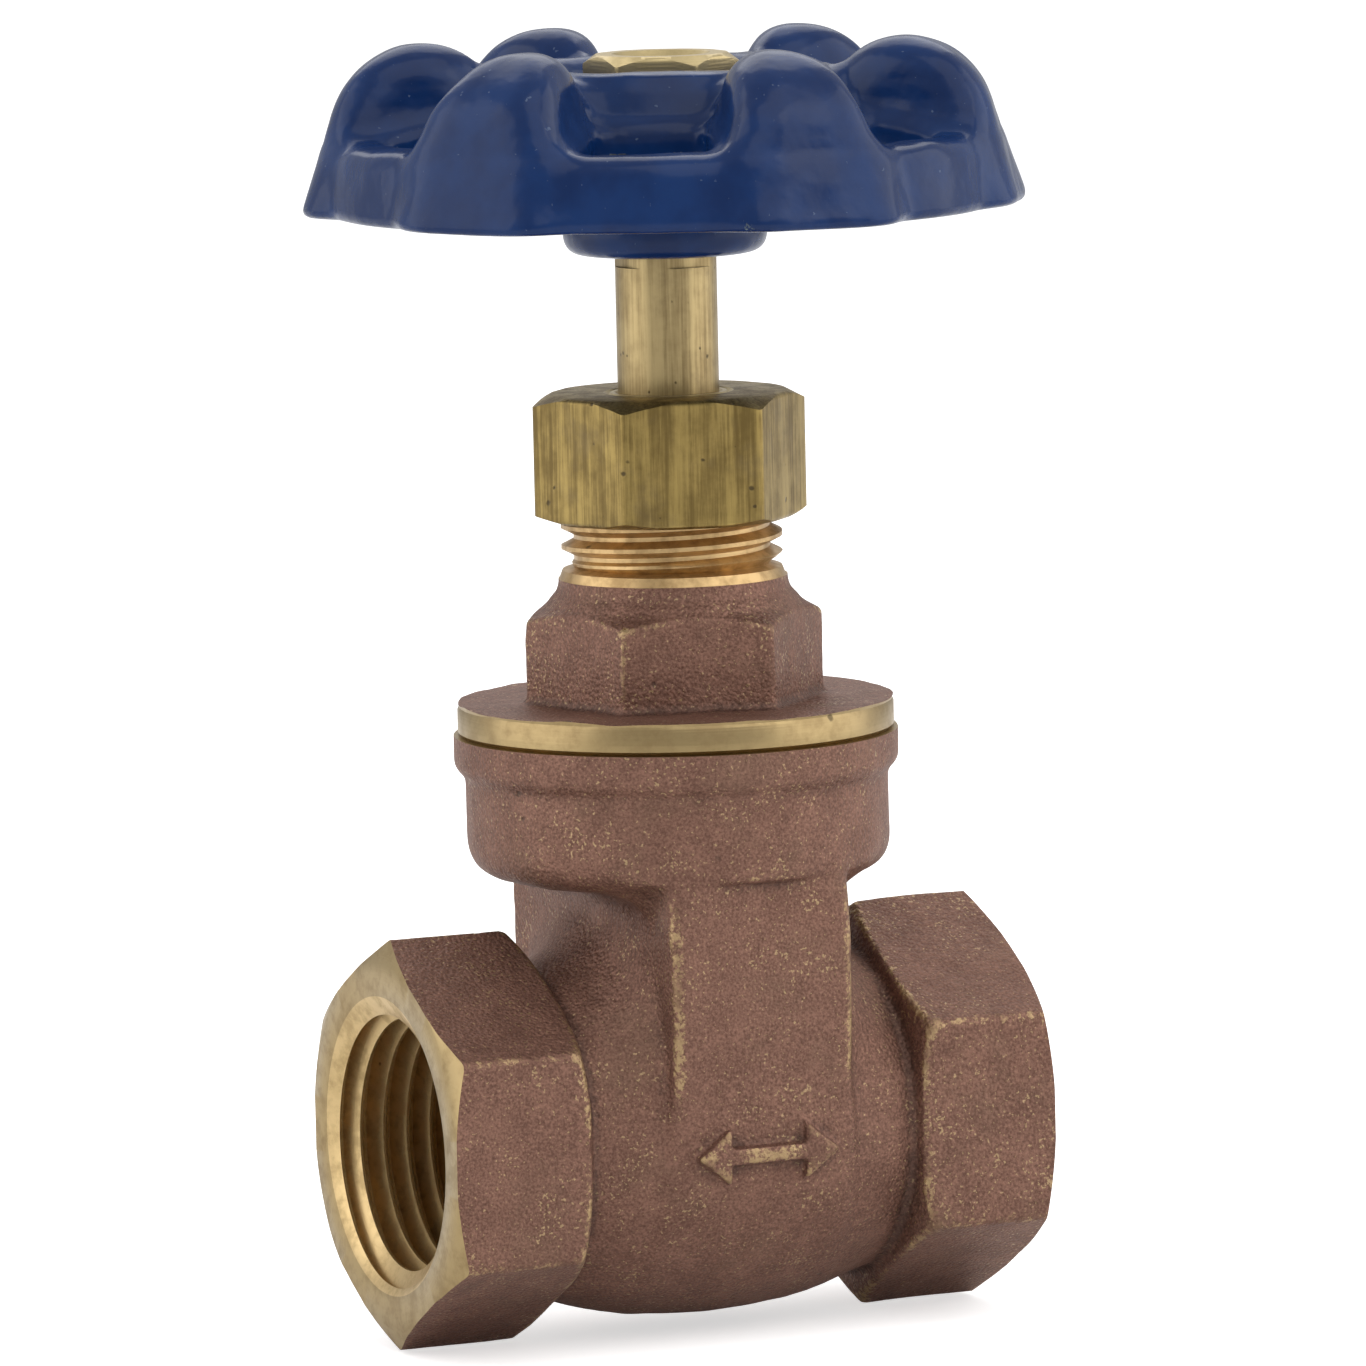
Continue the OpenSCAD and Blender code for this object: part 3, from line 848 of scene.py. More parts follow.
@dataclass(frozen=True)
class MachinedBronze:
    """Bronze that has been cut bright, with tool rings and a little tarnish.

    Attributes:
        name: Name of the material.
        bright: Colour of the clean metal.
        dull: Colour of the tarnish.
        rings: Tool rings in a metre.
        about_pipe: 1 for rings about the pipe axis, and 0 for rings about the stem.
        roughness: Roughness of the clean metal.
        tarnish: Share of the tarnish, from 0 to 1.
    """

    name: str
    bright: Colour = (0.39, 0.285, 0.137)
    dull: Colour = (0.23, 0.155, 0.07)
    rings: float = 7000.0
    about_pipe: float = 0.0
    roughness: float = 0.3
    tarnish: float = 0.4

    def build(self) -> bpy.types.Material:
        """Make the material."""
        material, n, shader = new_material(self.name)
        rings = n.group(turned_rings(), Rings=self.rings, Along_X=self.about_pipe)
        marks = n.group(handling_marks(), Pits=700.0, Share=0.05, Stains=260.0)
        cloud = n.noise(n.place(), 700.0, 4.0, 0.65)
        cover = n.math("MULTIPLY", n.ramp(cloud, 0.4, 0.68), self.tarnish)
        cover = n.math("ADD", cover, n.math("MULTIPLY", marks.outputs["Stains"], self.tarnish * 0.5))
        metal = n.between(cover, self.bright, self.dull)
        metal = n.between(n.math("MULTIPLY", marks.outputs["Pits"], 0.7), metal, (0.05, 0.035, 0.02))
        n.feed(shader.inputs["Base Color"], metal)
        shader.inputs["Metallic"].default_value = 0.92
        rough = n.math("MULTIPLY_ADD", cover, 0.22, self.roughness)
        n.feed(shader.inputs["Roughness"], rough)
        height = n.math("MULTIPLY_ADD", marks.outputs["Pits"], -1.2, rings.outputs["Height"])
        add_bump(n, shader, height, 0.012)
        return material


@dataclass(frozen=True)
class DrawnBrass:
    """Brass bar stock that kept its drawn skin: streaked, satin and pitted.

    Attributes:
        name: Name of the material.
        light: Colour of the brightest streaks.
        dark: Colour of the darkest streaks.
        roughness: Mean roughness.
        pits: Pits in a metre.
        streak: Depth of the streaks, in millimetres.
        pit_share: How dark the pits are, from 0 to 1.
        pit_count: Share of the places for a pit that have one.
    """

    name: str
    light: Colour = (0.38, 0.272, 0.09)
    dark: Colour = (0.165, 0.112, 0.036)
    roughness: float = 0.4
    pits: float = 900.0
    streak: float = 0.02
    pit_share: float = 0.75
    pit_count: float = 0.28

    def build(self) -> bpy.types.Material:
        """Make the material."""
        material, n, shader = new_material(self.name)
        streaks = n.group(drawn_streaks(), Lines=4200.0)
        marks = n.group(handling_marks(), Pits=self.pits, Share=self.pit_count, Stains=230.0)
        cloud = n.noise(n.place(), 420.0, 5.0, 0.62)
        tone = n.math("MULTIPLY_ADD", cloud, 0.45, n.math("MULTIPLY", streaks.outputs["Tone"], 1.1))
        metal = n.between(n.ramp(tone, 0.6, 0.95), self.dark, self.light)
        metal = n.between(n.math("MULTIPLY", marks.outputs["Stains"], 0.4), metal, (0.15, 0.11, 0.06))
        metal = n.between(n.math("MULTIPLY", marks.outputs["Pits"], self.pit_share), metal,
                          (0.035, 0.025, 0.018))
        n.feed(shader.inputs["Base Color"], metal)
        shader.inputs["Metallic"].default_value = 0.9
        rough = n.math("MULTIPLY_ADD", n.ramp(tone, 0.6, 0.95), -0.12, self.roughness + 0.08)
        n.feed(shader.inputs["Roughness"], rough)
        height = n.math("MULTIPLY_ADD", marks.outputs["Pits"], -1.6, streaks.outputs["Height"])
        add_bump(n, shader, height, self.streak)
        return material


@dataclass(frozen=True)
class BlueEnamel:
    """Thick glossy enamel, dipped, with thick and thin patches at random and chips on its edges.

    Attributes:
        name: Name of the material.
        deep: Colour where the enamel is thick.
        thin: Colour where it is thin.
    """

    name: str = "blue_enamel"
    deep: Colour = (0.003, 0.018, 0.080)
    thin: Colour = (0.005, 0.027, 0.110)

    def build(self) -> bpy.types.Material:
        """Make the material."""
        material, n, shader = new_material(self.name)
        place = n.place()
        cloud = n.noise(place, 260.0, 3.0, 0.5)
        edges = n.group(edge_wear_and_painted_shade(), Start=0.2, Width=0.08, Breakup=0.9)
        paint = n.between(n.ramp(cloud, 0.32, 0.7), self.deep, self.thin)
        specks = n.ramp(n.noise(place, 2300.0, 2.0, 0.5), 0.72, 0.77)
        paint = n.between(n.math("MULTIPLY", specks, 0.4), paint, (0.13, 0.18, 0.28))
        chips = n.math("MULTIPLY", edges.outputs["Wear"],
                       n.ramp(n.noise(place, 330.0, 3.0, 0.6), 0.6, 0.66))
        paint = n.between(n.math("MULTIPLY", chips, 0.85), paint, (0.13, 0.17, 0.19))
        n.feed(shader.inputs["Base Color"], paint)
        n.feed(shader.inputs["Roughness"], n.math("MULTIPLY_ADD", chips, 0.3, 0.23))
        coat = n.math("MULTIPLY_ADD", chips, -0.1, 0.1)
        n.feed(shader.inputs["Coat Weight"], coat)
        shader.inputs["Coat Roughness"].default_value = 0.06
        shader.inputs["Specular IOR Level"].default_value = 0.19
        ripple = n.noise(place, 300.0, 2.0, 0.45)
        drips = n.noise(place, 900.0, 2.0, 0.5)
        height = n.math("MULTIPLY_ADD", drips, 0.16, ripple)
        height = n.math("MULTIPLY_ADD", specks, 0.05, height)
        height = n.math("MULTIPLY_ADD", chips, -0.2, height)
        add_bump(n, shader, height, 0.2)
        return material


@dataclass(frozen=True)
class BareCasting:
    """Die-cast zinc that the enamel only dusted, inside the handwheel's hollow.

    Attributes:
        name: Name of the material.
    """

    name: str = "bare_casting"

    def build(self) -> bpy.types.Material:
        """Make the material."""
        material, n, shader = new_material(self.name)
        grain = n.group(cast_grain(), Grains=1500.0)
        skin = n.between(n.ramp(grain.outputs["Tone"], 0.35, 0.65), (0.030, 0.035, 0.045),
                         (0.10, 0.11, 0.125))
        n.feed(shader.inputs["Base Color"], skin)
        shader.inputs["Metallic"].default_value = 0.4
        n.feed(shader.inputs["Roughness"], n.math("MULTIPLY_ADD", grain.outputs["Tone"], 0.3, 0.4))
        add_bump(n, shader, grain.outputs["Height"], 0.08)
        return material


@dataclass(frozen=True)
class BraidedPacking:
    """Square-plaited graphite packing.

    Attributes:
        name: Name of the material.
    """

    name: str = "packing"

    def build(self) -> bpy.types.Material:
        """Make the material."""
        material, n, shader = new_material(self.name)
        weave = n.add("ShaderNodeTexVoronoi", {"feature": "F1"}, Vector=n.place(), Scale=1600.0)
        fibres = n.noise(n.place(), 5000.0, 3.0, 0.6)
        tone = n.math("MULTIPLY_ADD", fibres, 0.5, n.math("MULTIPLY", weave.outputs[0], 0.6))
        n.feed(shader.inputs["Base Color"], n.between(tone, (0.012, 0.012, 0.013),
                                                      (0.09, 0.09, 0.092)))
        n.feed(shader.inputs["Roughness"], n.math("MULTIPLY_ADD", fibres, 0.3, 0.4))
        shader.inputs["Metallic"].default_value = 0.2
        add_bump(n, shader, tone, 0.12)
        return material


@dataclass(frozen=True)
class FibreSheet:
    """Compressed fibre sheet for the bonnet joint.

    Attributes:
        name: Name of the material.
    """

    name: str = "gasket"

    def build(self) -> bpy.types.Material:
        """Make the material."""
        material, n, shader = new_material(self.name)
        long_fibres = n.add("ShaderNodeMapping", Vector=n.place())
        long_fibres.inputs["Scale"].default_value = (1.0, 0.25, 1.0)
        fibres = n.noise(long_fibres.outputs[0], 3200.0, 4.0, 0.7)
        n.feed(shader.inputs["Base Color"], n.between(n.ramp(fibres, 0.35, 0.65),
                                                      (0.045, 0.05, 0.045), (0.14, 0.15, 0.13)))
        n.feed(shader.inputs["Roughness"], n.math("MULTIPLY_ADD", fibres, 0.2, 0.7))
        add_bump(n, shader, fibres, 0.05)
        return material


@dataclass(frozen=True)
class StudioFloor:
    """Plain pale paper.

    Attributes:
        name: Name of the material.
        colour: Its colour.
        glow: Light that it gives of itself, as a light table does.
    """

    name: str = "studio_floor"
    colour: Colour = (0.93, 0.93, 0.93)
    glow: float = 0.55

    def build(self) -> bpy.types.Material:
        """Make the material."""
        material, n, shader = new_material(self.name)
        fibre = n.noise(n.place(), 900.0, 2.0, 0.5)
        lighter = tuple(min(1.0, c * 1.02) for c in self.colour)
        n.feed(shader.inputs["Base Color"], n.between(fibre, self.colour, lighter))
        shader.inputs["Roughness"].default_value = 0.85
        shader.inputs["Specular IOR Level"].default_value = 0.2
        shader.inputs["Emission Color"].default_value = (1.0, 1.0, 1.0, 1.0)
        seen = n.add("ShaderNodeLightPath").outputs["Is Camera Ray"]
        n.feed(shader.inputs["Emission Strength"], n.math("MULTIPLY", seen, self.glow))
        return material


# ---------------------------------------------------------------------------
# Sub-assemblies
# ---------------------------------------------------------------------------

class CadBody(Enum):
    """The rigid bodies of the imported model."""

    VALVE = "valve_body"
    SPINDLE = "spindle"
    GATE = "gate"
    GLAND = "gland"
    NUT = "nut"


def place_piece(piece: bpy.types.Object, body: CadBody, node: str) -> None:
    """Hand a finished piece to the frame, in place of its CAD node.

    Args:
        piece: Finished mesh object.
        body: Body that carries it.
        node: CAD node that it stands for.
    """
    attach(piece, body.value)
    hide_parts(node)
    log.info("%s: %d faces, rides on %s", piece.name, len(piece.data.polygons), body.value)


def cast_skin(name: str, lattice: Lattice, values: Array, reach: float,
              material: bpy.types.Material) -> bpy.types.Object:
    """Mesh a casting and note how exposed each part of its surface is.

    Args:
        name: Name of the object.
        lattice: Points that the casting was sampled on.
        values: Distance field of the casting.
        reach: Size of the neighbourhood for the exposure, in millimetres.
        material: Finish of the skin.

    Returns:
        The new object.
    """
    vertices, faces = lattice.skin(values)
    piece = mesh_piece(name, vertices, faces)
    exposure = lattice.exposure(values, reach)
    write_attribute(piece, "exposure", lattice.sample(exposure, vertices))
    piece.data.materials.append(material)
    return piece


@dataclass
class ValveBodyCasting:
    """Body casting: two hexagon ends, belly, gate housing, collar and lip.

    Attributes:
        half_length: Half of the face-to-face length.
        hex_af: Width across the flats of the end hexagons.
        hex_inner_x: Where an end hexagon starts.
        housing_half_t: Half of the housing's thickness along the pipe.
        belly_r: Radius of the belly at its middle.
        collar_r: Radius of the collar.
        collar_z: Height of the collar's underside.
        lip_r: Radius of the lip.
        lip_z: Height of the step from collar to lip.
        top_z: Height of the machined top face.
        socket_minor_r: Crest radius of the pipe thread at the mouth.
        socket_major_r: Root radius of the pipe thread at the mouth.
        socket_depth: Depth of each socket.
        waterway_r: Radius of the waterway.
        cell: Sampling distance of the casting.
    """

    half_length: float = 23.65
    hex_af: float = 25.9
    hex_inner_x: float = 12.95
    housing_half_t: float = 7.05
    belly_r: float = 14.15
    collar_r: float = 15.35
    collar_z: float = 18.3
    lip_r: float = 16.1
    lip_z: float = 25.8
    top_z: float = 28.5
    socket_minor_r: float = 9.16
    socket_major_r: float = 10.61
    socket_depth: float = 11.5
    waterway_r: float = 6.35
    cell: float = 0.22

    def field(self, at: Lattice) -> Array:
        """Distance field of the raw casting, with its machining allowance.

        Args:
            at: Points to sample.

        Returns:
            The field on those points.
        """
        x, y, z = at.x, at.y, at.z
        ax = np.abs(x)
        about_pipe = np.sqrt(y * y + z * z)
        swell = np.interp(ax.ravel(), [0, 3, 6, 9, 11.5, 12.5, 14],
                          [13.7, 13.6, 13.4, 12.9, 12.3, 12.0, 12.0]).reshape(ax.shape)
        sag = 0.4 * np.clip(-z / 11.0, 0, 1) * np.clip(1 - (ax / 11.0) ** 2, 0, 1)
        belly = smooth_max(about_pipe - swell - sag, ax - 14.5 + 0 * about_pipe, 0.8)
        ends = hexagon_field(y + 0 * z, z + 0 * y, self.hex_af, 0.4) + 0 * x
        band = np.maximum(self.hex_inner_x - ax, ax - self.half_length - 0.6)
        corner = 0.458 * (about_pipe - 13.1) + 0.889 * (self.hex_inner_x - ax)
        ends = smooth_max(smooth_max(ends, corner, 0.4), band + 0 * ends, 0.6)
        half_w = 13.75 + 0.65 * np.clip(z / 9.0, 0, 1) ** 0.8
        sides = np.where(z > 0, np.abs(y) - half_w, about_pipe - 13.75 - 0.11 * z)
        housing = smooth_max(sides + 0 * x, ax - self.housing_half_t + 0 * sides, 0.8)
        housing = np.maximum(housing, z - self.collar_z - 2)
        about_stem = np.sqrt(x * x + y * y)
        reach = np.interp(z.ravel(), [11, 19], [17.0, 15.5]).reshape(z.shape)
        housing = smooth_max(housing, about_stem - reach, 0.8)
        front = np.interp(np.abs(y).ravel(), [10.5, 13.2], [0, 1]).reshape(y.shape)
        above = np.clip(z / 6.0, 0, 1)
        underside = self.collar_z + 0.7 * front
        collar = smooth_max(about_stem - self.collar_r, underside - z, 2.8 - 2.0 * front)
        collar = np.maximum(collar, z - self.top_z - 0.7)
        lip = smooth_max(about_stem - self.lip_r, self.lip_z - z, 1.0)
        lip = np.maximum(lip, z - self.top_z - 0.7)
        shape = smooth_min(belly, housing, 1.4 + 3.6 * (1 - front) * above)
        shape = smooth_min(shape, ends, 0.7)
        shape = smooth_min(shape, collar, 3.4 - 3.0 * front)
        shape = smooth_min(shape, lip, 0.8)
        shape = shape + at.lumps(5.5, 0.08, 11) + at.lumps(1.5, 0.035, 12)
        return smooth_min(shape, self.flow_mark(at, about_pipe - self.belly_r), 0.4)

    def flow_mark(self, at: Lattice, above_belly: Array) -> Array:
        """Raised double-headed arrow that says the valve takes flow either way.

        Args:
            at: Points to sample.
            above_belly: Distance from the belly's surface.

        Returns:
            The mark's distance field.
        """
        u = np.abs(at.x)
        v = np.abs(at.z + 0.6)
        bar = np.maximum(u - 3.4, v - 0.62)
        head = np.maximum(2.95 - u, 0.62 * u + 0.785 * v - 0.62 * 5.6)
        mark = smooth_max(np.minimum(bar, head), above_belly - 0.72, 0.35)
        return np.maximum(mark, at.y + 9.0)

    def waterway_cutter(self, name: str, turn_to: Matrix) -> bpy.types.Object:
        """Cutter for one threaded socket and its half of the waterway.

        Args:
            name: Name of the cutter.
            turn_to: Rotation that lays its own Z along the pipe.

        Returns:
            The cutter.
        """
        taper = 1 / 32
        floor_z = self.half_length - self.socket_depth
        fall = taper * self.socket_depth
        thread = Thread(self.socket_minor_r - fall, self.socket_major_r - fall, 1.814, floor_z,
                        self.half_length + 0.4, taper=taper, land=0.1)
        end = self.half_length
        rings = stack_rings([
            plain_rings([(0, 0.4), (self.waterway_r, 0.4), (self.waterway_r, floor_z - 0.01)]),
            thread.rings(),
            plain_rings([(0, self.half_length + 0.41)])])
        cutter = ring_solid(name, *rings, hollow=False)
        flare = lathe(name + "_mouth", [(0, end - 2), (9.0, end - 2), (9.12, end - 1),
                                        (10.82, end), (11.84, end + 0.6), (0, end + 0.6)])
        carve(cutter, flare, operation="UNION")
        cutter.data.transform(turn_to)
        return cutter

    def gate_pocket_cutter(self) -> bpy.types.Object:
        """Cutter for the space that the wedge travels in, leaving seats and guide ribs."""
        low, top = -9.5, 24.6
        pocket = box_piece("pocket_cutter", (-5.1, -9.7, low), (5.1, 9.7, top))
        seats = lathe("seat_cutter", [(0, -6), (8, -6), (8, 6), (0, 6)])
        seats.data.transform(TO_PIPE)
        carve(pocket, seats)
        rise = math.tan(math.radians(4))
        wide, narrow = 4.25 - low * rise, 4.25 - 19.4 * rise
        travel = prism("travel_cutter", [(-wide, low), (wide, low), (4.25 + 0.3, 19.4),
                                         (-4.25 - 0.3, 19.4)], -9.7, 9.7, FACE_ON)
        carve(pocket, travel, operation="UNION")
        log.debug("wedge space narrows to %.2f mm", narrow)
        for side in (-1, 1):
            rib = box_piece("rib_cutter", (-0.9, side * 9.1 - 0.7, -7), (0.9, side * 9.1 + 0.7, 19))
            carve(pocket, rib)
        return pocket

    def build(self, skin: bpy.types.Material, turned: bpy.types.Material,
              faced: bpy.types.Material, tapped: bpy.types.Material) -> bpy.types.Object:
        """Cast and machine the body.

        Args:
            skin: Finish of the casting.
            turned: Finish of cuts about the stem.
            faced: Finish of the faced ends.
            tapped: Finish of the threads and bores along the pipe.

        Returns:
            The finished body.
        """
        at = Lattice((-25.2, -17.2, -15.9), (25.2, 17.2, 30.3), self.cell)
        piece = cast_skin("valve_body_casting", at, self.field(at), 2.2, skin)
        end = self.half_length
        for side, turn_to in (("left", TO_PIPE_BACK), ("right", TO_PIPE)):
            facing = lathe("facing_" + side, [(0, end), (13.1, end), (18.0, end - 2.07),
                                              (18.0, end + 4), (0, end + 4)], columns=256)
            facing.data.transform(turn_to)
            carve(piece, facing, faced)
        top = self.top_z
        mouth = lathe("mouth_cutter", [(0, 20.4), (9.7, 20.4), (11.8, 22.6), (12.5, 22.6),
                                       (12.5, top - 0.5), (14.1, top - 0.5), (14.1, top),
                                       (20, top), (20, top + 4), (0, top + 4)])
        carve(piece, mouth, turned)
        carve(piece, self.gate_pocket_cutter(), turned)
        for side, turn_to in (("left", TO_PIPE_BACK), ("right", TO_PIPE)):
            carve(piece, self.waterway_cutter("waterway_" + side, turn_to), tapped)
        clean_mesh(piece)
        finish_shading(piece, 34)
        return piece


@dataclass
class BonnetCasting:
    """Screwed bonnet: flange, hexagon, shoulder and threaded neck.

    Attributes:
        base_z: Height of the flange's underside.
        flange_r: Radius of the flange.
        flange_t: Thickness of the flange.
        hex_af: Width across the flats of its hexagon.
        hex_top_z: Height of the hexagon's corners.
        turn: Turn of the hexagon about the stem, in degrees.
        neck_z: Height where the threaded neck starts.
        top_z: Height of the neck's top.
        neck_r: Crest radius of the neck's thread.
        root_r: Root radius of the neck's thread.
        cell: Sampling distance of the casting.
    """

    base_z: float = 28.5
    flange_r: float = 15.8
    flange_t: float = 2.35
    hex_af: float = 19.0
    hex_top_z: float = 36.8
    turn: float = 45.8
    neck_z: float = 39.6
    top_z: float = 48.8
    neck_r: float = 8.0
    root_r: float = 7.1
    cell: float = 0.19

    def field(self, at: Lattice) -> Array:
        """Distance field of the raw casting.

        Args:
            at: Points to sample.

        Returns:
            The field on those points.
        """
        x, y, z = at.x, at.y, at.z
        radius = np.sqrt(x * x + y * y)
        flange_top = self.base_z + self.flange_t
        flange = smooth_max(radius - self.flange_r - 0.5, z - flange_top, 0.9)
        angle = math.radians(self.turn)
        along = x * math.cos(angle) + y * math.sin(angle)
        across = -x * math.sin(angle) + y * math.cos(angle)
        bar = hexagon_field(across, along, self.hex_af, 0.35) + 0 * z
        tip = self.hex_af / math.sqrt(3)
        dome = 0.45 * (radius - tip) + 0.893 * (z - self.hex_top_z)
        bar = smooth_max(bar, dome, 0.3)
        cone_r = np.interp(z.ravel(), [30, 37.4, 38.2, 38.8, self.neck_z, 41.0],
                           [9.25, 9.2, 8.9, 8.45, 8.25, 8.25]).reshape(z.shape)
        shoulder = np.maximum(radius - cone_r, z - self.neck_z - 0.25)
        neck = np.maximum(radius - 8.3 + 0 * z, z - self.top_z - 0.5)
        shape = smooth_min(flange, bar, 0.7)
        shape = smooth_min(shape, shoulder, 0.6)
        shape = np.minimum(shape, neck)
        shape = shape + at.lumps(3.8, 0.09, 21) + at.lumps(1.3, 0.04, 22)
        shank = radius - 12.9 + 0 * z
        shape = np.where(z < self.base_z, np.minimum(shape, shank), shape)
        return np.maximum(shape, 23.0 - z)

    def build(self, skin: bpy.types.Material, turned: bpy.types.Material,
              threaded: bpy.types.Material) -> bpy.types.Object:
        """Cast and machine the bonnet.

        Args:
            skin: Finish of the casting.
            turned: Finish of its turned faces.
            threaded: Finish of the threaded neck.

        Returns:
            The finished bonnet.
        """
        at = Lattice((-17.0, -17.0, 22.4), (17.0, 17.0, 50.0), self.cell)
        piece = cast_skin("bonnet_casting", at, self.field(at), 1.8, skin)
        base, flange_top = self.base_z, self.base_z + self.flange_t
        rim = lathe("rim_cutter", [(12.45, 22.0), (20, 22.0), (20, flange_top + 1.5),
                                   (self.flange_r + 0.5, flange_top + 1.5),
                                   (self.flange_r - 0.12, flange_top - 0.25),
                                   (self.flange_r, flange_top - 0.5), (self.flange_r, base + 0.3),
                                   (self.flange_r - 0.3, base), (12.45, base)], hollow=True,
                    columns=256)
        carve(piece, rim, turned)
        thread = Thread(self.root_r, self.neck_r, 1.5, self.neck_z + 1.0, self.top_z + 0.3,
                        land=0.2, fade_low=0.8)
        outside = [(11.5, self.top_z + 1.2), (11.5, self.neck_z + 0.1)]
        rings = stack_rings([plain_rings([(8.2, self.neck_z + 0.1), (7.95, self.neck_z + 0.75),
                                          (self.root_r + 0.02, self.neck_z + 0.99)]),
                             thread.rings(), plain_rings([(7.1, self.top_z + 1.2)] + outside)])
        carve(piece, ring_solid("neck_cutter", *rings, hollow=True), threaded)
        top = self.top_z
        bore = lathe("bore_cutter", [(0, 22.0), (10.6, 22.0), (10.6, 28), (7, 30.6), (7, 37),
                                     (5.53, 37), (5.53, 39.6), (3.715, 39.6), (3.715, 41.5),
                                     (5.5, 41.5), (5.5, top - 0.6), (6.1, top), (9, top),
                                     (9, top + 2), (0, top + 2)])
        carve(piece, bore, turned)
        clean_mesh(piece)
        finish_shading(piece, 34)
        return piece


def hexagon_nut(name: str, af: float, low: float, high: float, turn: float,
                top_drop: float, bottom_drop: float, flat_top_r: float) -> bpy.types.Object:
    """Make a hexagon bar with turned chamfers at both ends.

    Args:
        name: Name of the object.
        af: Width across the flats.
        low: Height of the bottom face.
        high: Height of the top face.
        turn: Turn of its corners, in degrees.
        top_drop: How far the top chamfer falls at a corner.
        bottom_drop: How far the bottom chamfer rises at a corner.
        flat_top_r: Radius where both chamfers start.

    Returns:
        The bar, with no hole.
    """
    tip = af / 2 / math.cos(math.radians(30))
    outline = [(tip * math.cos(math.radians(60 * k)), tip * math.sin(math.radians(60 * k)))
               for k in range(6)]
    bar = prism(name, outline, low, high, Matrix.Rotation(math.radians(turn), 4, "Z"))
    soften(bar, 0.36, 50, 3)
    wide = tip + 1.0
    scale = (wide - flat_top_r) / (tip - flat_top_r)
    chamfer = lathe(name + "_chamfer", [(0, low), (flat_top_r, low),
                                        (wide, low + bottom_drop * scale),
                                        (wide, high - top_drop * scale), (flat_top_r, high),
                                        (0, high)], columns=256)
    carve(bar, chamfer, operation="INTERSECT")
    bar.data.materials.clear()
    return bar


@dataclass
class PackingNut:
    """Hexagon nut that presses the gland down.

    Attributes:
        af: Width across the flats.
        base_z: Height of its bottom face.
        top_z: Height of its top face.
        turn: Turn of its corners, in degrees.
        web_t: Thickness of its top web.
        hole_r: Radius of the hole that the gland's nose passes.
    """

    af: float = 17.46
    base_z: float = 43.9
    top_z: float = 53.1
    turn: float = 46.3
    web_t: float = 1.5
    hole_r: float = 4.4

    def build(self, drawn: bpy.types.Material, turned: bpy.types.Material) -> bpy.types.Object:
        """Make the nut.

        Args:
            drawn: Finish of the flats.
            turned: Finish of the chamfers and the inside.

        Returns:
            The finished nut.
        """
        piece = hexagon_nut("packing_nut_hexagon", self.af, self.base_z, self.top_z, self.turn,
                            0.85, 0.55, 8.5)
        piece.data.materials.append(drawn)
        thread = Thread(7.2, 8.05, 1.5, self.base_z + 0.5, self.top_z - self.web_t, land=0.12)
        rings = stack_rings([plain_rings([(0, self.base_z - 1), (8.7, self.base_z - 1),
                                          (8.4, self.base_z), (8.05, self.base_z + 0.49)]),
                             thread.rings(), plain_rings([(0, self.top_z - self.web_t + 0.01)])])
        carve(piece, ring_solid("nut_thread_cutter", *rings, hollow=False), turned)
        hole = lathe("nut_hole_cutter", [(0, self.base_z), (self.hole_r, self.base_z),
                                         (self.hole_r, self.top_z - 0.3),
                                         (self.hole_r + 0.35, self.top_z + 0.05),
                                         (0, self.top_z + 0.05)])
        carve(piece, hole, turned)
        clean_mesh(piece)
        finish_shading(piece, 30)
        return piece


@dataclass
class GateStem:
    """Stem that turns the wedge's screw, with a square for the handwheel and a stud on top.

    Attributes:
        shank_r: Radius of the plain shank.
        screw_r: Crest radius of the lower screw.
        square_af: Width across the square.
        square_turn: Turn of the square, in degrees.
        square_z: Height where the square starts.
        square_top_z: Height where the square ends.
        stud_r: Crest radius of the top thread.
        stud_top_z: Height of the stud's top.
    """

    shank_r: float = 3.665
    screw_r: float = 3.0
    square_af: float = 6.4
    square_turn: float = 5.8
    square_z: float = 62.2
    square_top_z: float = 72.8
    stud_r: float = 3.0
    stud_top_z: float = 76.9

    def build(self, turned: bpy.types.Material) -> bpy.types.Object:
        """Make the stem.

        Args:
            turned: Finish of the whole stem.

        Returns:
            The finished stem.
        """
        screw = Thread(2.15, self.screw_r, 2.5, 10.8, 32.2, hand=-1, land=0.42)
        stud = Thread(2.45, self.stud_r, 1.0, self.square_top_z + 0.1, self.stud_top_z - 0.4,
                      land=0.14)
        rings = stack_rings([
            plain_rings([(0, 10), (2.2, 10), (2.9, 10.79)]),
            screw.rings(),
            plain_rings([(2.3, 32.25), (3.1, 32.6), (3.1, 37.05), (5.2, 37.05), (5.45, 37.3),
                         (5.45, 39.25), (5.2, 39.5), (self.shank_r, 39.5),
                         (self.shank_r, 41.5), (self.shank_r, self.square_top_z - 0.3),
                         (self.shank_r - 0.4, self.square_top_z), (2.9, self.square_top_z + 0.05)]),
            stud.rings(),
            plain_rings([(2.3, self.stud_top_z), (0, self.stud_top_z)])])
        piece = ring_solid("stem_shaft", *rings, hollow=False)
        piece.data.materials.append(turned)
        half = self.square_af / 2
        for quarter in range(4):
            flat = box_piece("square_cutter", (half, -6, self.square_z), (9, 6, self.square_top_z))
            spin = math.radians(self.square_turn + 90 * quarter)
            flat.data.transform(Matrix.Rotation(spin, 4, "Z"))
            carve(piece, flat, turned)
        clean_mesh(piece)
        finish_shading(piece, 30)
        return piece


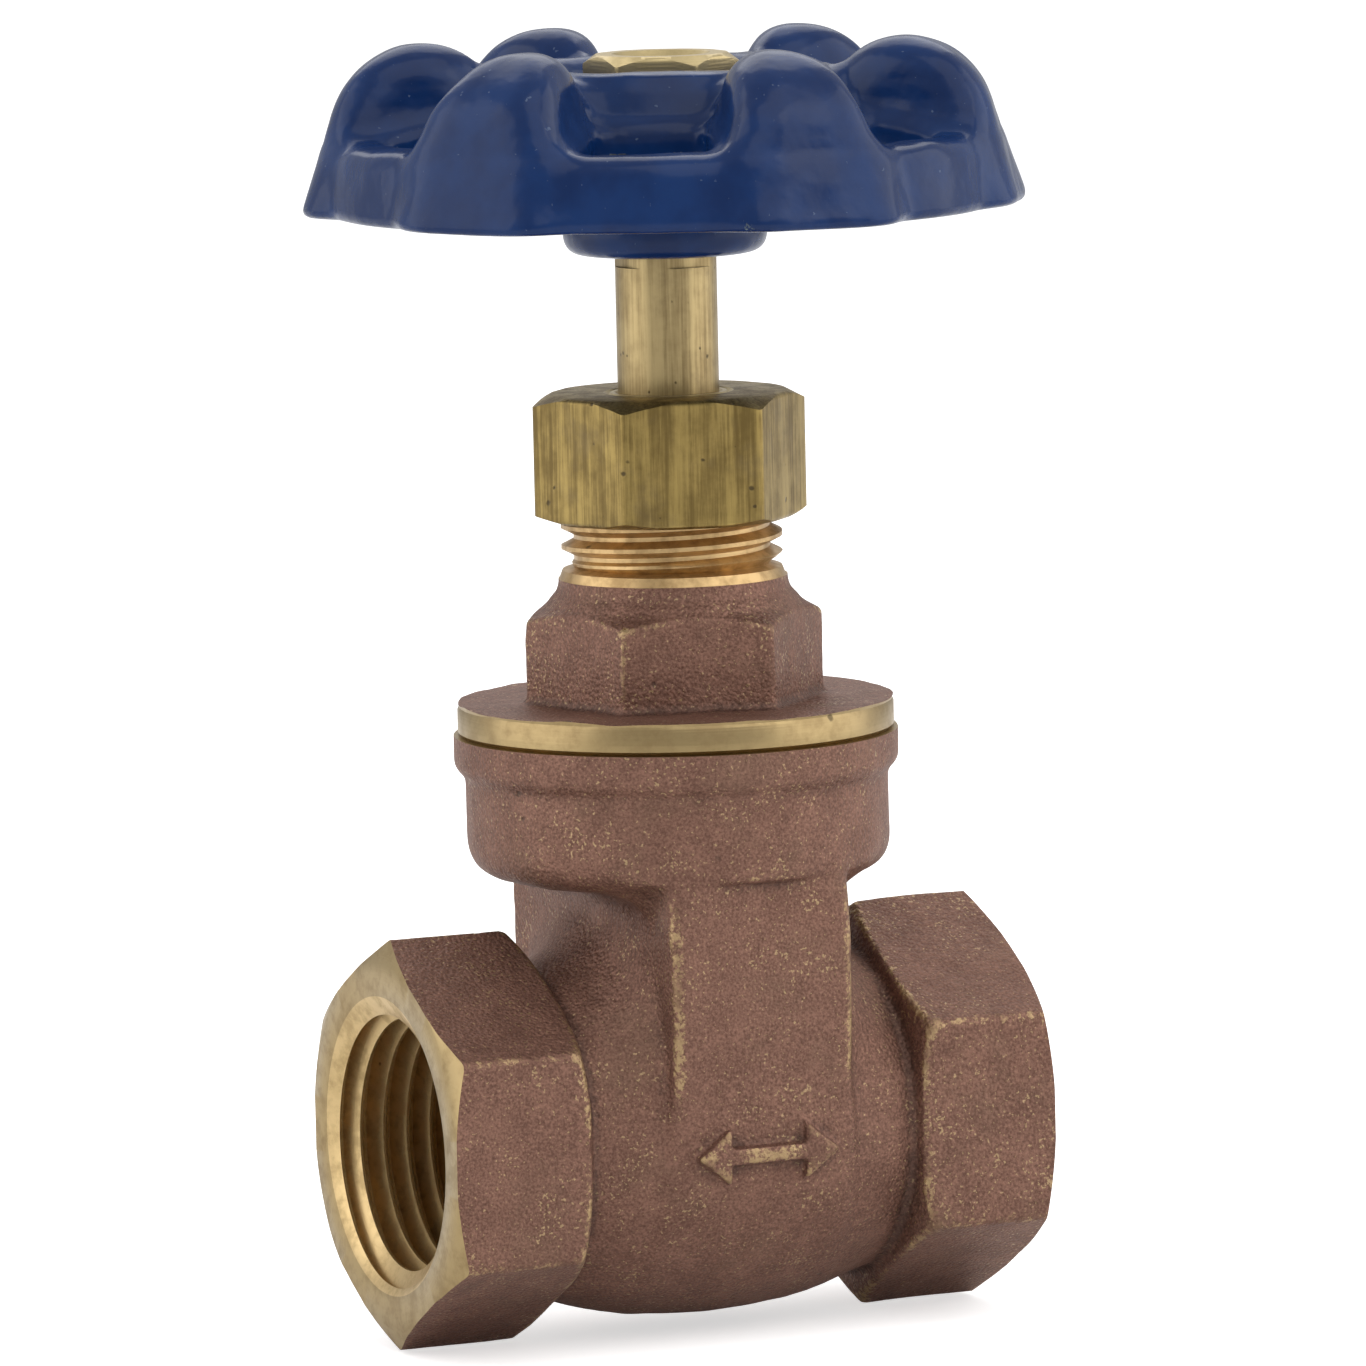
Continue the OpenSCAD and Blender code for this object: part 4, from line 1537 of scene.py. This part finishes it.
@dataclass
class PackingGland:
    """Gland with a nose that shows round the stem at the nut's top.

    Attributes:
        base_z: Height of its lower end.
        flange_z: Height where its flange starts.
        top_z: Height of its nose.
    """

    base_z: float = 47.2
    flange_z: float = 50.6
    top_z: float = 53.1

    def build(self, turned: bpy.types.Material) -> bpy.types.Object:
        """Turn the gland.

        Args:
            turned: Its finish.

        Returns:
            The finished gland.
        """
        top = self.top_z
        piece = lathe("gland_bush", [(3.715, self.base_z), (5.2, self.base_z),
                                     (5.45, self.base_z + 0.25), (5.45, self.flange_z),
                                     (7.35, self.flange_z), (7.5, self.flange_z + 0.15),
                                     (7.5, self.flange_z + 0.85), (7.35, self.flange_z + 1),
                                     (4.35, self.flange_z + 1), (4.35, top - 0.2), (4.2, top),
                                     (3.9, top), (3.715, top - 0.2)], hollow=True)
        piece.data.materials.append(turned)
        finish_shading(piece, 30)
        return piece


@dataclass
class LobedHandwheel:
    """Shell-cast handwheel with six hollow lobes, a cupped middle and a round hub.

    Attributes:
        turn: Turn of the lobes about the stem, in degrees.
        outer_r: Radius over the lobes.
        base_z: Height of the rim's bottom edge.
        lobe_r: Distance of the lobe tops from the stem.
        lobe_arc: Radius of a lobe's top, seen from the side.
        lobe_top_z: Height of the lobe tops.
        rim_r: Radius of the rim between the lobes.
        rim_z: Height of the ledge between the lobes; not used.
        wall: Thickness of the shell.
        hub_r: Radius of the hub.
        hub_z: Height of the hub's bottom.
        crest_z: Height of the ring round the dish; not used.
        cell: Sampling distance of the casting.
    """

    turn: float = 32.1
    outer_r: float = 26.0
    base_z: float = 66.3
    lobe_r: float = 17.3
    lobe_arc: float = 6.8
    lobe_top_z: float = 78.5
    rim_r: float = 24.6
    rim_z: float = 72.0
    wall: float = 2.1
    hub_r: float = 7.375
    hub_z: float = 63.1
    crest_z: float = 76.8
    cell: float = 0.21

    def lobes(self, radius: Array, fold: Array, z: Array) -> Array:
        """Distance field of the lobes, open at the bottom.

        Args:
            radius: Distance of the points from the stem.
            fold: Angle of the points from the nearest lobe's middle.
            z: Height of the points.

        Returns:
            The field.
        """
        u = radius * np.cos(fold)
        v = np.abs(radius * np.sin(fold))
        centre_z = self.lobe_top_z - self.lobe_arc
        ball = np.sqrt((u - self.lobe_r) ** 2 + (z - centre_z) ** 2) - self.lobe_arc
        flare = (self.outer_r - self.lobe_r - self.lobe_arc) / (centre_z - self.base_z)
        low_wall = np.abs(u - self.lobe_r) - self.lobe_arc - flare * (centre_z - z)
        side = np.where(z > centre_z, ball, low_wall / math.hypot(1, flare))
        half = np.interp(z.ravel(), [60, 64.4, 66.4, 68.6, 71.2, 72.5, 74.2, 75.6, 80],
                         [6.9, 6.6, 6.0, 5.5, 5.2, 5.0, 4.6, 4.4, 4.3]).reshape(z.shape)
        width = half + np.clip(0.3 * (radius - 20.5), -2.4, 0.8)
        return smooth_max(side, (v - width) * 0.95, 3.4)

    def centre(self, radius: Array, z: Array) -> Array:
        """Distance field of the cup, the floor between the lobes and the rim."""
        marks = [0, 10.9, 11.8, 12.6, 13.4, 14.4, 16, 21, 24, 30]
        heights = [76.8, 76.8, 76.6, 75.5, 74.0, 73.0, 72.6, 71.7, 71.55, 71.5]
        top = np.interp(radius.ravel(), marks, heights).reshape(radius.shape)
        steps = np.linspace(0, 30, 301)
        grade = np.gradient(np.interp(steps, marks, heights), steps)
        slope = np.interp(radius.ravel(), steps, grade).reshape(radius.shape)
        upper = (z - top) / np.sqrt(1 + slope * slope)
        outside = radius - (self.rim_r - 0.13 * (z - self.base_z))
        return smooth_max(upper, outside, 1.6)

    def angle(self, at: Lattice) -> Array:
        """Angle of the points about the stem, from the first lobe's middle."""
        return np.arctan2(at.y + 0 * at.x, at.x + 0 * at.y) - math.radians(self.turn)

    def shell(self, at: Lattice) -> Array:
        """Distance field of the wheel's outer shape, before it is hollowed.

        Args:
            at: Points to sample.

        Returns:
            The field on those points.
        """
        sixth = math.radians(60)
        radius = np.sqrt(at.x * at.x + at.y * at.y)
        fold = np.mod(self.angle(at) + sixth / 2, sixth) - sixth / 2
        shape = smooth_min(self.lobes(radius, fold, at.z), self.centre(radius, at.z), 1.8)
        return shape + at.lumps(5.5, 0.16, 31) + at.lumps(2.4, 0.06, 32)

    def field(self, at: Lattice, shell: Array) -> Array:
        """Distance field of the whole wheel.

        Args:
            at: Points to sample.
            shell: Field of its outer shape.

        Returns:
            The field on those points.
        """
        x, y, z = at.x, at.y, at.z
        radius = np.sqrt(x * x + y * y)
        angle, sixth = self.angle(at), math.radians(60)
        hollow = smooth_max(shell + self.wall, self.hub_r + 1.2 - radius, 1.5)
        wheel = smooth_max(shell, -hollow, 0.8)
        wheel = smooth_max(wheel, self.base_z - z + at.lumps(6.0, 0.12, 33), 0.9)
        hub = smooth_max(radius - self.hub_r, self.hub_z - z, 1.6)
        hub = np.maximum(hub, z - 74.0)
        wheel = smooth_min(wheel, hub, 1.0)
        window_fold = np.mod(angle, sixth) - sixth / 2
        u, v = radius * np.cos(window_fold), np.abs(radius * np.sin(window_fold))
        window = smooth_max(np.abs(u - 17.4) - 3.0, v - 4.3 - 0.12 * (u - 17.4), 1.6)
        window = np.maximum(window + 0 * z, z - 75.5)
        wheel = smooth_max(wheel, -window, 0.7)
        dish_r = np.interp(z.ravel(), [72.5, 73.3, 76.0, 77.6], [6.2, 6.6, 8.2, 9.6])
        dish = smooth_max(radius - dish_r.reshape(z.shape), 73.0 - z, 0.6)
        return smooth_max(wheel, -dish, 0.9)

    def build(self, enamel: bpy.types.Material, bare: bpy.types.Material,
              square_af: float, square_turn: float) -> bpy.types.Object:
        """Cast, pierce and enamel the wheel.

        Args:
            enamel: Finish of the outside.
            bare: Finish inside the hollow.
            square_af: Width of its square hole.
            square_turn: Turn of the square hole, in degrees.

        Returns:
            The finished wheel.
        """
        at = Lattice((-26.7, -26.7, 62.4), (26.7, 26.7, 79.6), self.cell)
        shell = self.shell(at)
        piece = cast_skin("handwheel_casting", at, self.field(at, shell), 2.0, enamel)
        hole = box_piece("square_hole_cutter", (-square_af / 2, -square_af / 2, 60),
                         (square_af / 2, square_af / 2, 80))
        hole.data.transform(Matrix.Rotation(math.radians(square_turn), 4, "Z"))
        carve(piece, hole, bare)
        self.bare_inside(piece, bare, at, shell)
        finish_shading(piece, 50)
        return piece

    def bare_inside(self, piece: bpy.types.Object, bare: bpy.types.Material, at: Lattice,
                    shell: Array) -> None:
        """Leave the hollow's faces without enamel.

        Args:
            piece: The wheel's mesh object.
            bare: Finish of the hollow.
            at: Points that the wheel was sampled on.
            shell: Field of its outer shape.
        """
        if bare.name not in piece.data.materials:
            piece.data.materials.append(bare)
        slot = list(piece.data.materials).index(bare)
        count = len(piece.data.polygons)
        centres = np.zeros(count * 3, np.float32)
        piece.data.polygons.foreach_get("center", centres)
        centres = centres.reshape(-1, 3) / MM
        radius = np.hypot(centres[:, 0], centres[:, 1])
        deep = at.sample(shell, centres) < -0.75 * self.wall
        inside = deep & (radius > self.hub_r + 0.9) & (centres[:, 2] < 72.5)
        index = np.zeros(count, np.int32)
        piece.data.polygons.foreach_get("material_index", index)
        index[inside | (deep & (radius > 12))] = slot
        piece.data.polygons.foreach_set("material_index", index)


@dataclass
class HandwheelNut:
    """Small hexagon nut that holds the handwheel on its square.

    Attributes:
        af: Width across the flats.
        base_z: Height of its bottom face.
        top_z: Height of its top face.
        turn: Turn of its corners, in degrees.
        bore_r: Major radius of its thread.
    """

    af: float = 10.0
    base_z: float = 73.0
    top_z: float = 77.5
    turn: float = 30.9
    bore_r: float = 3.05

    def build(self, turned: bpy.types.Material, faced: bpy.types.Material) -> bpy.types.Object:
        """Make the nut.

        Args:
            turned: Finish of its flats.
            faced: Finish of its thread and countersink.

        Returns:
            The finished nut.
        """
        piece = hexagon_nut("handwheel_nut_hexagon", self.af, self.base_z, self.top_z, self.turn,
                            0.75, 0.2, 4.75)
        piece.data.materials.append(turned)
        top = self.top_z
        bore = lathe("nut_bore_cutter", [(0, self.base_z - 1), (self.bore_r, self.base_z - 1),
                                         (self.bore_r, top - 0.5), (self.bore_r + 0.55, top + 0.05),
                                         (0, top + 0.05)])
        carve(piece, bore, faced)
        clean_mesh(piece)
        finish_shading(piece, 30)
        return piece


@dataclass
class InnerParts:
    """Parts inside the valve that keep their CAD shape and only get a finish.

    Attributes:
        finishes: Material for each CAD node.
    """

    finishes: dict[str, bpy.types.Material] = field(default_factory=dict)

    def dress(self, nodes: dict[str, bpy.types.Object]) -> None:
        """Put the finishes on.

        Args:
            nodes: The frame's CAD nodes by name.
        """
        for name, material in self.finishes.items():
            piece = nodes[name]
            for slot in range(max(1, len(piece.data.materials))):
                if slot < len(piece.data.materials):
                    piece.data.materials[slot] = material
                else:
                    piece.data.materials.append(material)
            log.info("%s: keeps its CAD shape, finish %s", name, material.name)


# ---------------------------------------------------------------------------
# Studio
# ---------------------------------------------------------------------------

@dataclass
class Studio:
    """Floor, lights, surroundings and camera.

    Attributes:
        floor_z: Height of the floor, in millimetres.
        azimuth: Side that the camera looks from, in degrees from the front.
        elevation: Height of the camera above the horizon, in degrees.
        distance: Distance of the camera, in millimetres.
        target: Point that the camera looks at, in millimetres.
        roll: Turn of the camera about its view, in degrees.
        lens: Focal length on a 36 mm sensor.
    """

    floor_z: float = -15.1
    azimuth: float = -24.55
    elevation: float = 6.83
    distance: float = 800.0
    target: tuple[float, float, float] = (0.53, -0.24, 31.86)
    roll: float = -1.26
    lens: float = 291.4

    def add_floor(self) -> None:
        """Lay a wide plain floor."""
        half = 3000.0
        corners = np.array([(-half, -half, 0), (half, -half, 0), (half, half, 0), (-half, half, 0)])
        floor = mesh_piece("studio_floor", corners + (0, 0, self.floor_z), np.array([[0, 1, 2, 3]]))
        floor.data.materials.append(StudioFloor().build())

    def add_softbox(self, name: str, side: float, up: float, far: float,
                    size: tuple[float, float], watts: float) -> None:
        """Hang one softbox that faces the valve.

        Args:
            name: Name of the light.
            side: Azimuth that it stands at, in degrees from the front.
            up: Elevation, in degrees.
            far: Distance in millimetres.
            size: Width and height in millimetres.
            watts: Power.
        """
        light = bpy.data.lights.new(name, "AREA")
        light.shape = "RECTANGLE"
        light.size, light.size_y = size[0] * MM, size[1] * MM
        light.energy = watts
        lamp = bpy.data.objects.new(name, light)
        bpy.context.scene.collection.objects.link(lamp)
        back = self.direction(side, up)
        lamp.location = (Vector((0, 0, 35)) + back * far) * MM
        lamp.rotation_euler = back.to_track_quat("Z", "Y").to_euler()

    @staticmethod
    def direction(azimuth: float, elevation: float) -> Vector:
        """Direction from the valve towards an azimuth and elevation in degrees."""
        a, e = math.radians(azimuth), math.radians(elevation)
        return Vector((math.sin(a) * math.cos(e), -math.cos(a) * math.cos(e), math.sin(e)))

    def add_surroundings(self) -> None:
        """White room with a darker strip in front of and behind the valve."""
        world = bpy.data.worlds.new("white_room")
        world.use_nodes = True
        world.node_tree.nodes.clear()
        n = Nodes(world.node_tree)
        way = n.add("ShaderNodeTexCoord").outputs["Generated"]
        front = self.direction(self.azimuth, 0)
        facing = n.add("ShaderNodeVectorMath", {"operation": "DOT_PRODUCT"})
        n.feed(facing.inputs[0], way)
        n.feed(facing.inputs[1], tuple(front))
        strip = n.ramp(n.math("ABSOLUTE", facing.outputs["Value"]), 0.55, 0.95)
        level = n.math("SUBTRACT", 0.66, n.math("MULTIPLY", strip, 0.2))
        seen = n.add("ShaderNodeLightPath").outputs["Is Camera Ray"]
        strength = n.math("ADD", n.math("MULTIPLY", seen, 1.0),
                          n.math("MULTIPLY", n.math("SUBTRACT", 1.0, seen), level))
        shader = n.add("ShaderNodeBackground", Color=(1.0, 1.0, 1.0))
        n.feed(shader.inputs["Strength"], strength)
        leave = n.add("ShaderNodeOutputWorld")
        n.tree.links.new(shader.outputs[0], leave.inputs["Surface"])
        bpy.context.scene.world = world

    def add_camera(self) -> None:
        """Stand the camera where the valve is seen from."""
        camera = bpy.data.cameras.new("studio_camera")
        camera.lens = self.lens
        camera.sensor_width = 36.0
        camera.clip_start, camera.clip_end = 0.01, 20.0
        stand = bpy.data.objects.new("studio_camera", camera)
        bpy.context.scene.collection.objects.link(stand)
        back = self.direction(self.azimuth, self.elevation)
        stand.location = (Vector(self.target) + back * self.distance) * MM
        look = (-back).to_track_quat("-Z", "Y").to_matrix().to_4x4()
        spin = Matrix.Rotation(math.radians(self.roll), 4, "Z")
        stand.rotation_euler = (look @ spin).to_euler()
        bpy.context.scene.camera = stand

    def build(self) -> None:
        """Set the whole studio up."""
        self.add_floor()
        self.add_softbox("left_softbox", -104, 18, 650, (800, 800), 2.3)
        self.add_softbox("right_softbox", 62, 18, 650, (800, 800), 2.4)
        self.add_softbox("front_softbox", 5, 52, 700, (700, 700), 1.5)
        self.add_softbox("back_softbox", 160, 45, 700, (600, 600), 1.2)
        self.add_surroundings()
        self.add_camera()
        bpy.context.scene.view_settings.view_transform = "Standard"


def main() -> None:
    """Build the valve piece by piece, then the studio."""
    logging.basicConfig(level=logging.INFO, format="%(name)s: %(message)s")
    cast = CastBronze().build()
    turned = MachinedBronze("turned_bronze").build()
    faced = MachinedBronze("faced_bronze", about_pipe=1.0, roughness=0.3, tarnish=0.5).build()
    tapped = MachinedBronze("tapped_bronze", about_pipe=1.0, bright=(0.62, 0.45, 0.22),
                            dull=(0.36, 0.25, 0.11), tarnish=0.6).build()
    threaded = MachinedBronze("threaded_bronze", bright=(0.56, 0.38, 0.18),
                              dull=(0.27, 0.165, 0.07), tarnish=0.6).build()
    drawn = DrawnBrass("nut_brass").build()
    stem_brass = DrawnBrass("stem_brass", light=(0.46, 0.35, 0.17), dark=(0.27, 0.195, 0.09),
                            roughness=0.34, pits=1100.0, streak=0.008).build()
    bar_brass = MachinedBronze("turned_brass", bright=(0.58, 0.46, 0.235), dull=(0.30, 0.225, 0.10),
                               tarnish=0.35).build()
    enamel = BlueEnamel().build()
    bare = BareCasting().build()

    body = ValveBodyCasting().build(cast, turned, faced, tapped)
    place_piece(body, CadBody.VALVE, "body")
    bonnet = BonnetCasting().build(cast, turned, threaded)
    place_piece(bonnet, CadBody.VALVE, "bonnet")
    nut = PackingNut().build(drawn, bar_brass)
    place_piece(nut, CadBody.NUT, "packing_nut")
    gland = PackingGland().build(bar_brass)
    place_piece(gland, CadBody.GLAND, "packing_gland")
    stem_sizes = GateStem()
    stem = stem_sizes.build(stem_brass)
    place_piece(stem, CadBody.SPINDLE, "stem")
    wheel = LobedHandwheel().build(enamel, bare, stem_sizes.square_af + 0.05,
                                   stem_sizes.square_turn)
    place_piece(wheel, CadBody.SPINDLE, "handwheel")
    cap = HandwheelNut().build(bar_brass, bar_brass)
    place_piece(cap, CadBody.SPINDLE, "handwheel_nut")

    packing = BraidedPacking().build()
    gate = CastBronze(name="cast_bronze_gate", depth=0.035).build()
    InnerParts({"wedge": gate, "stem_retaining_ring": bar_brass, "packing_washer": bar_brass,
                "packing_ring_lower": packing, "packing_ring_middle": packing,
                "packing_ring_upper": packing, "bonnet_gasket": FibreSheet().build(),
                }).dress(frame["nodes"])
    Studio().build()


if __name__ == "__main__":
    main()
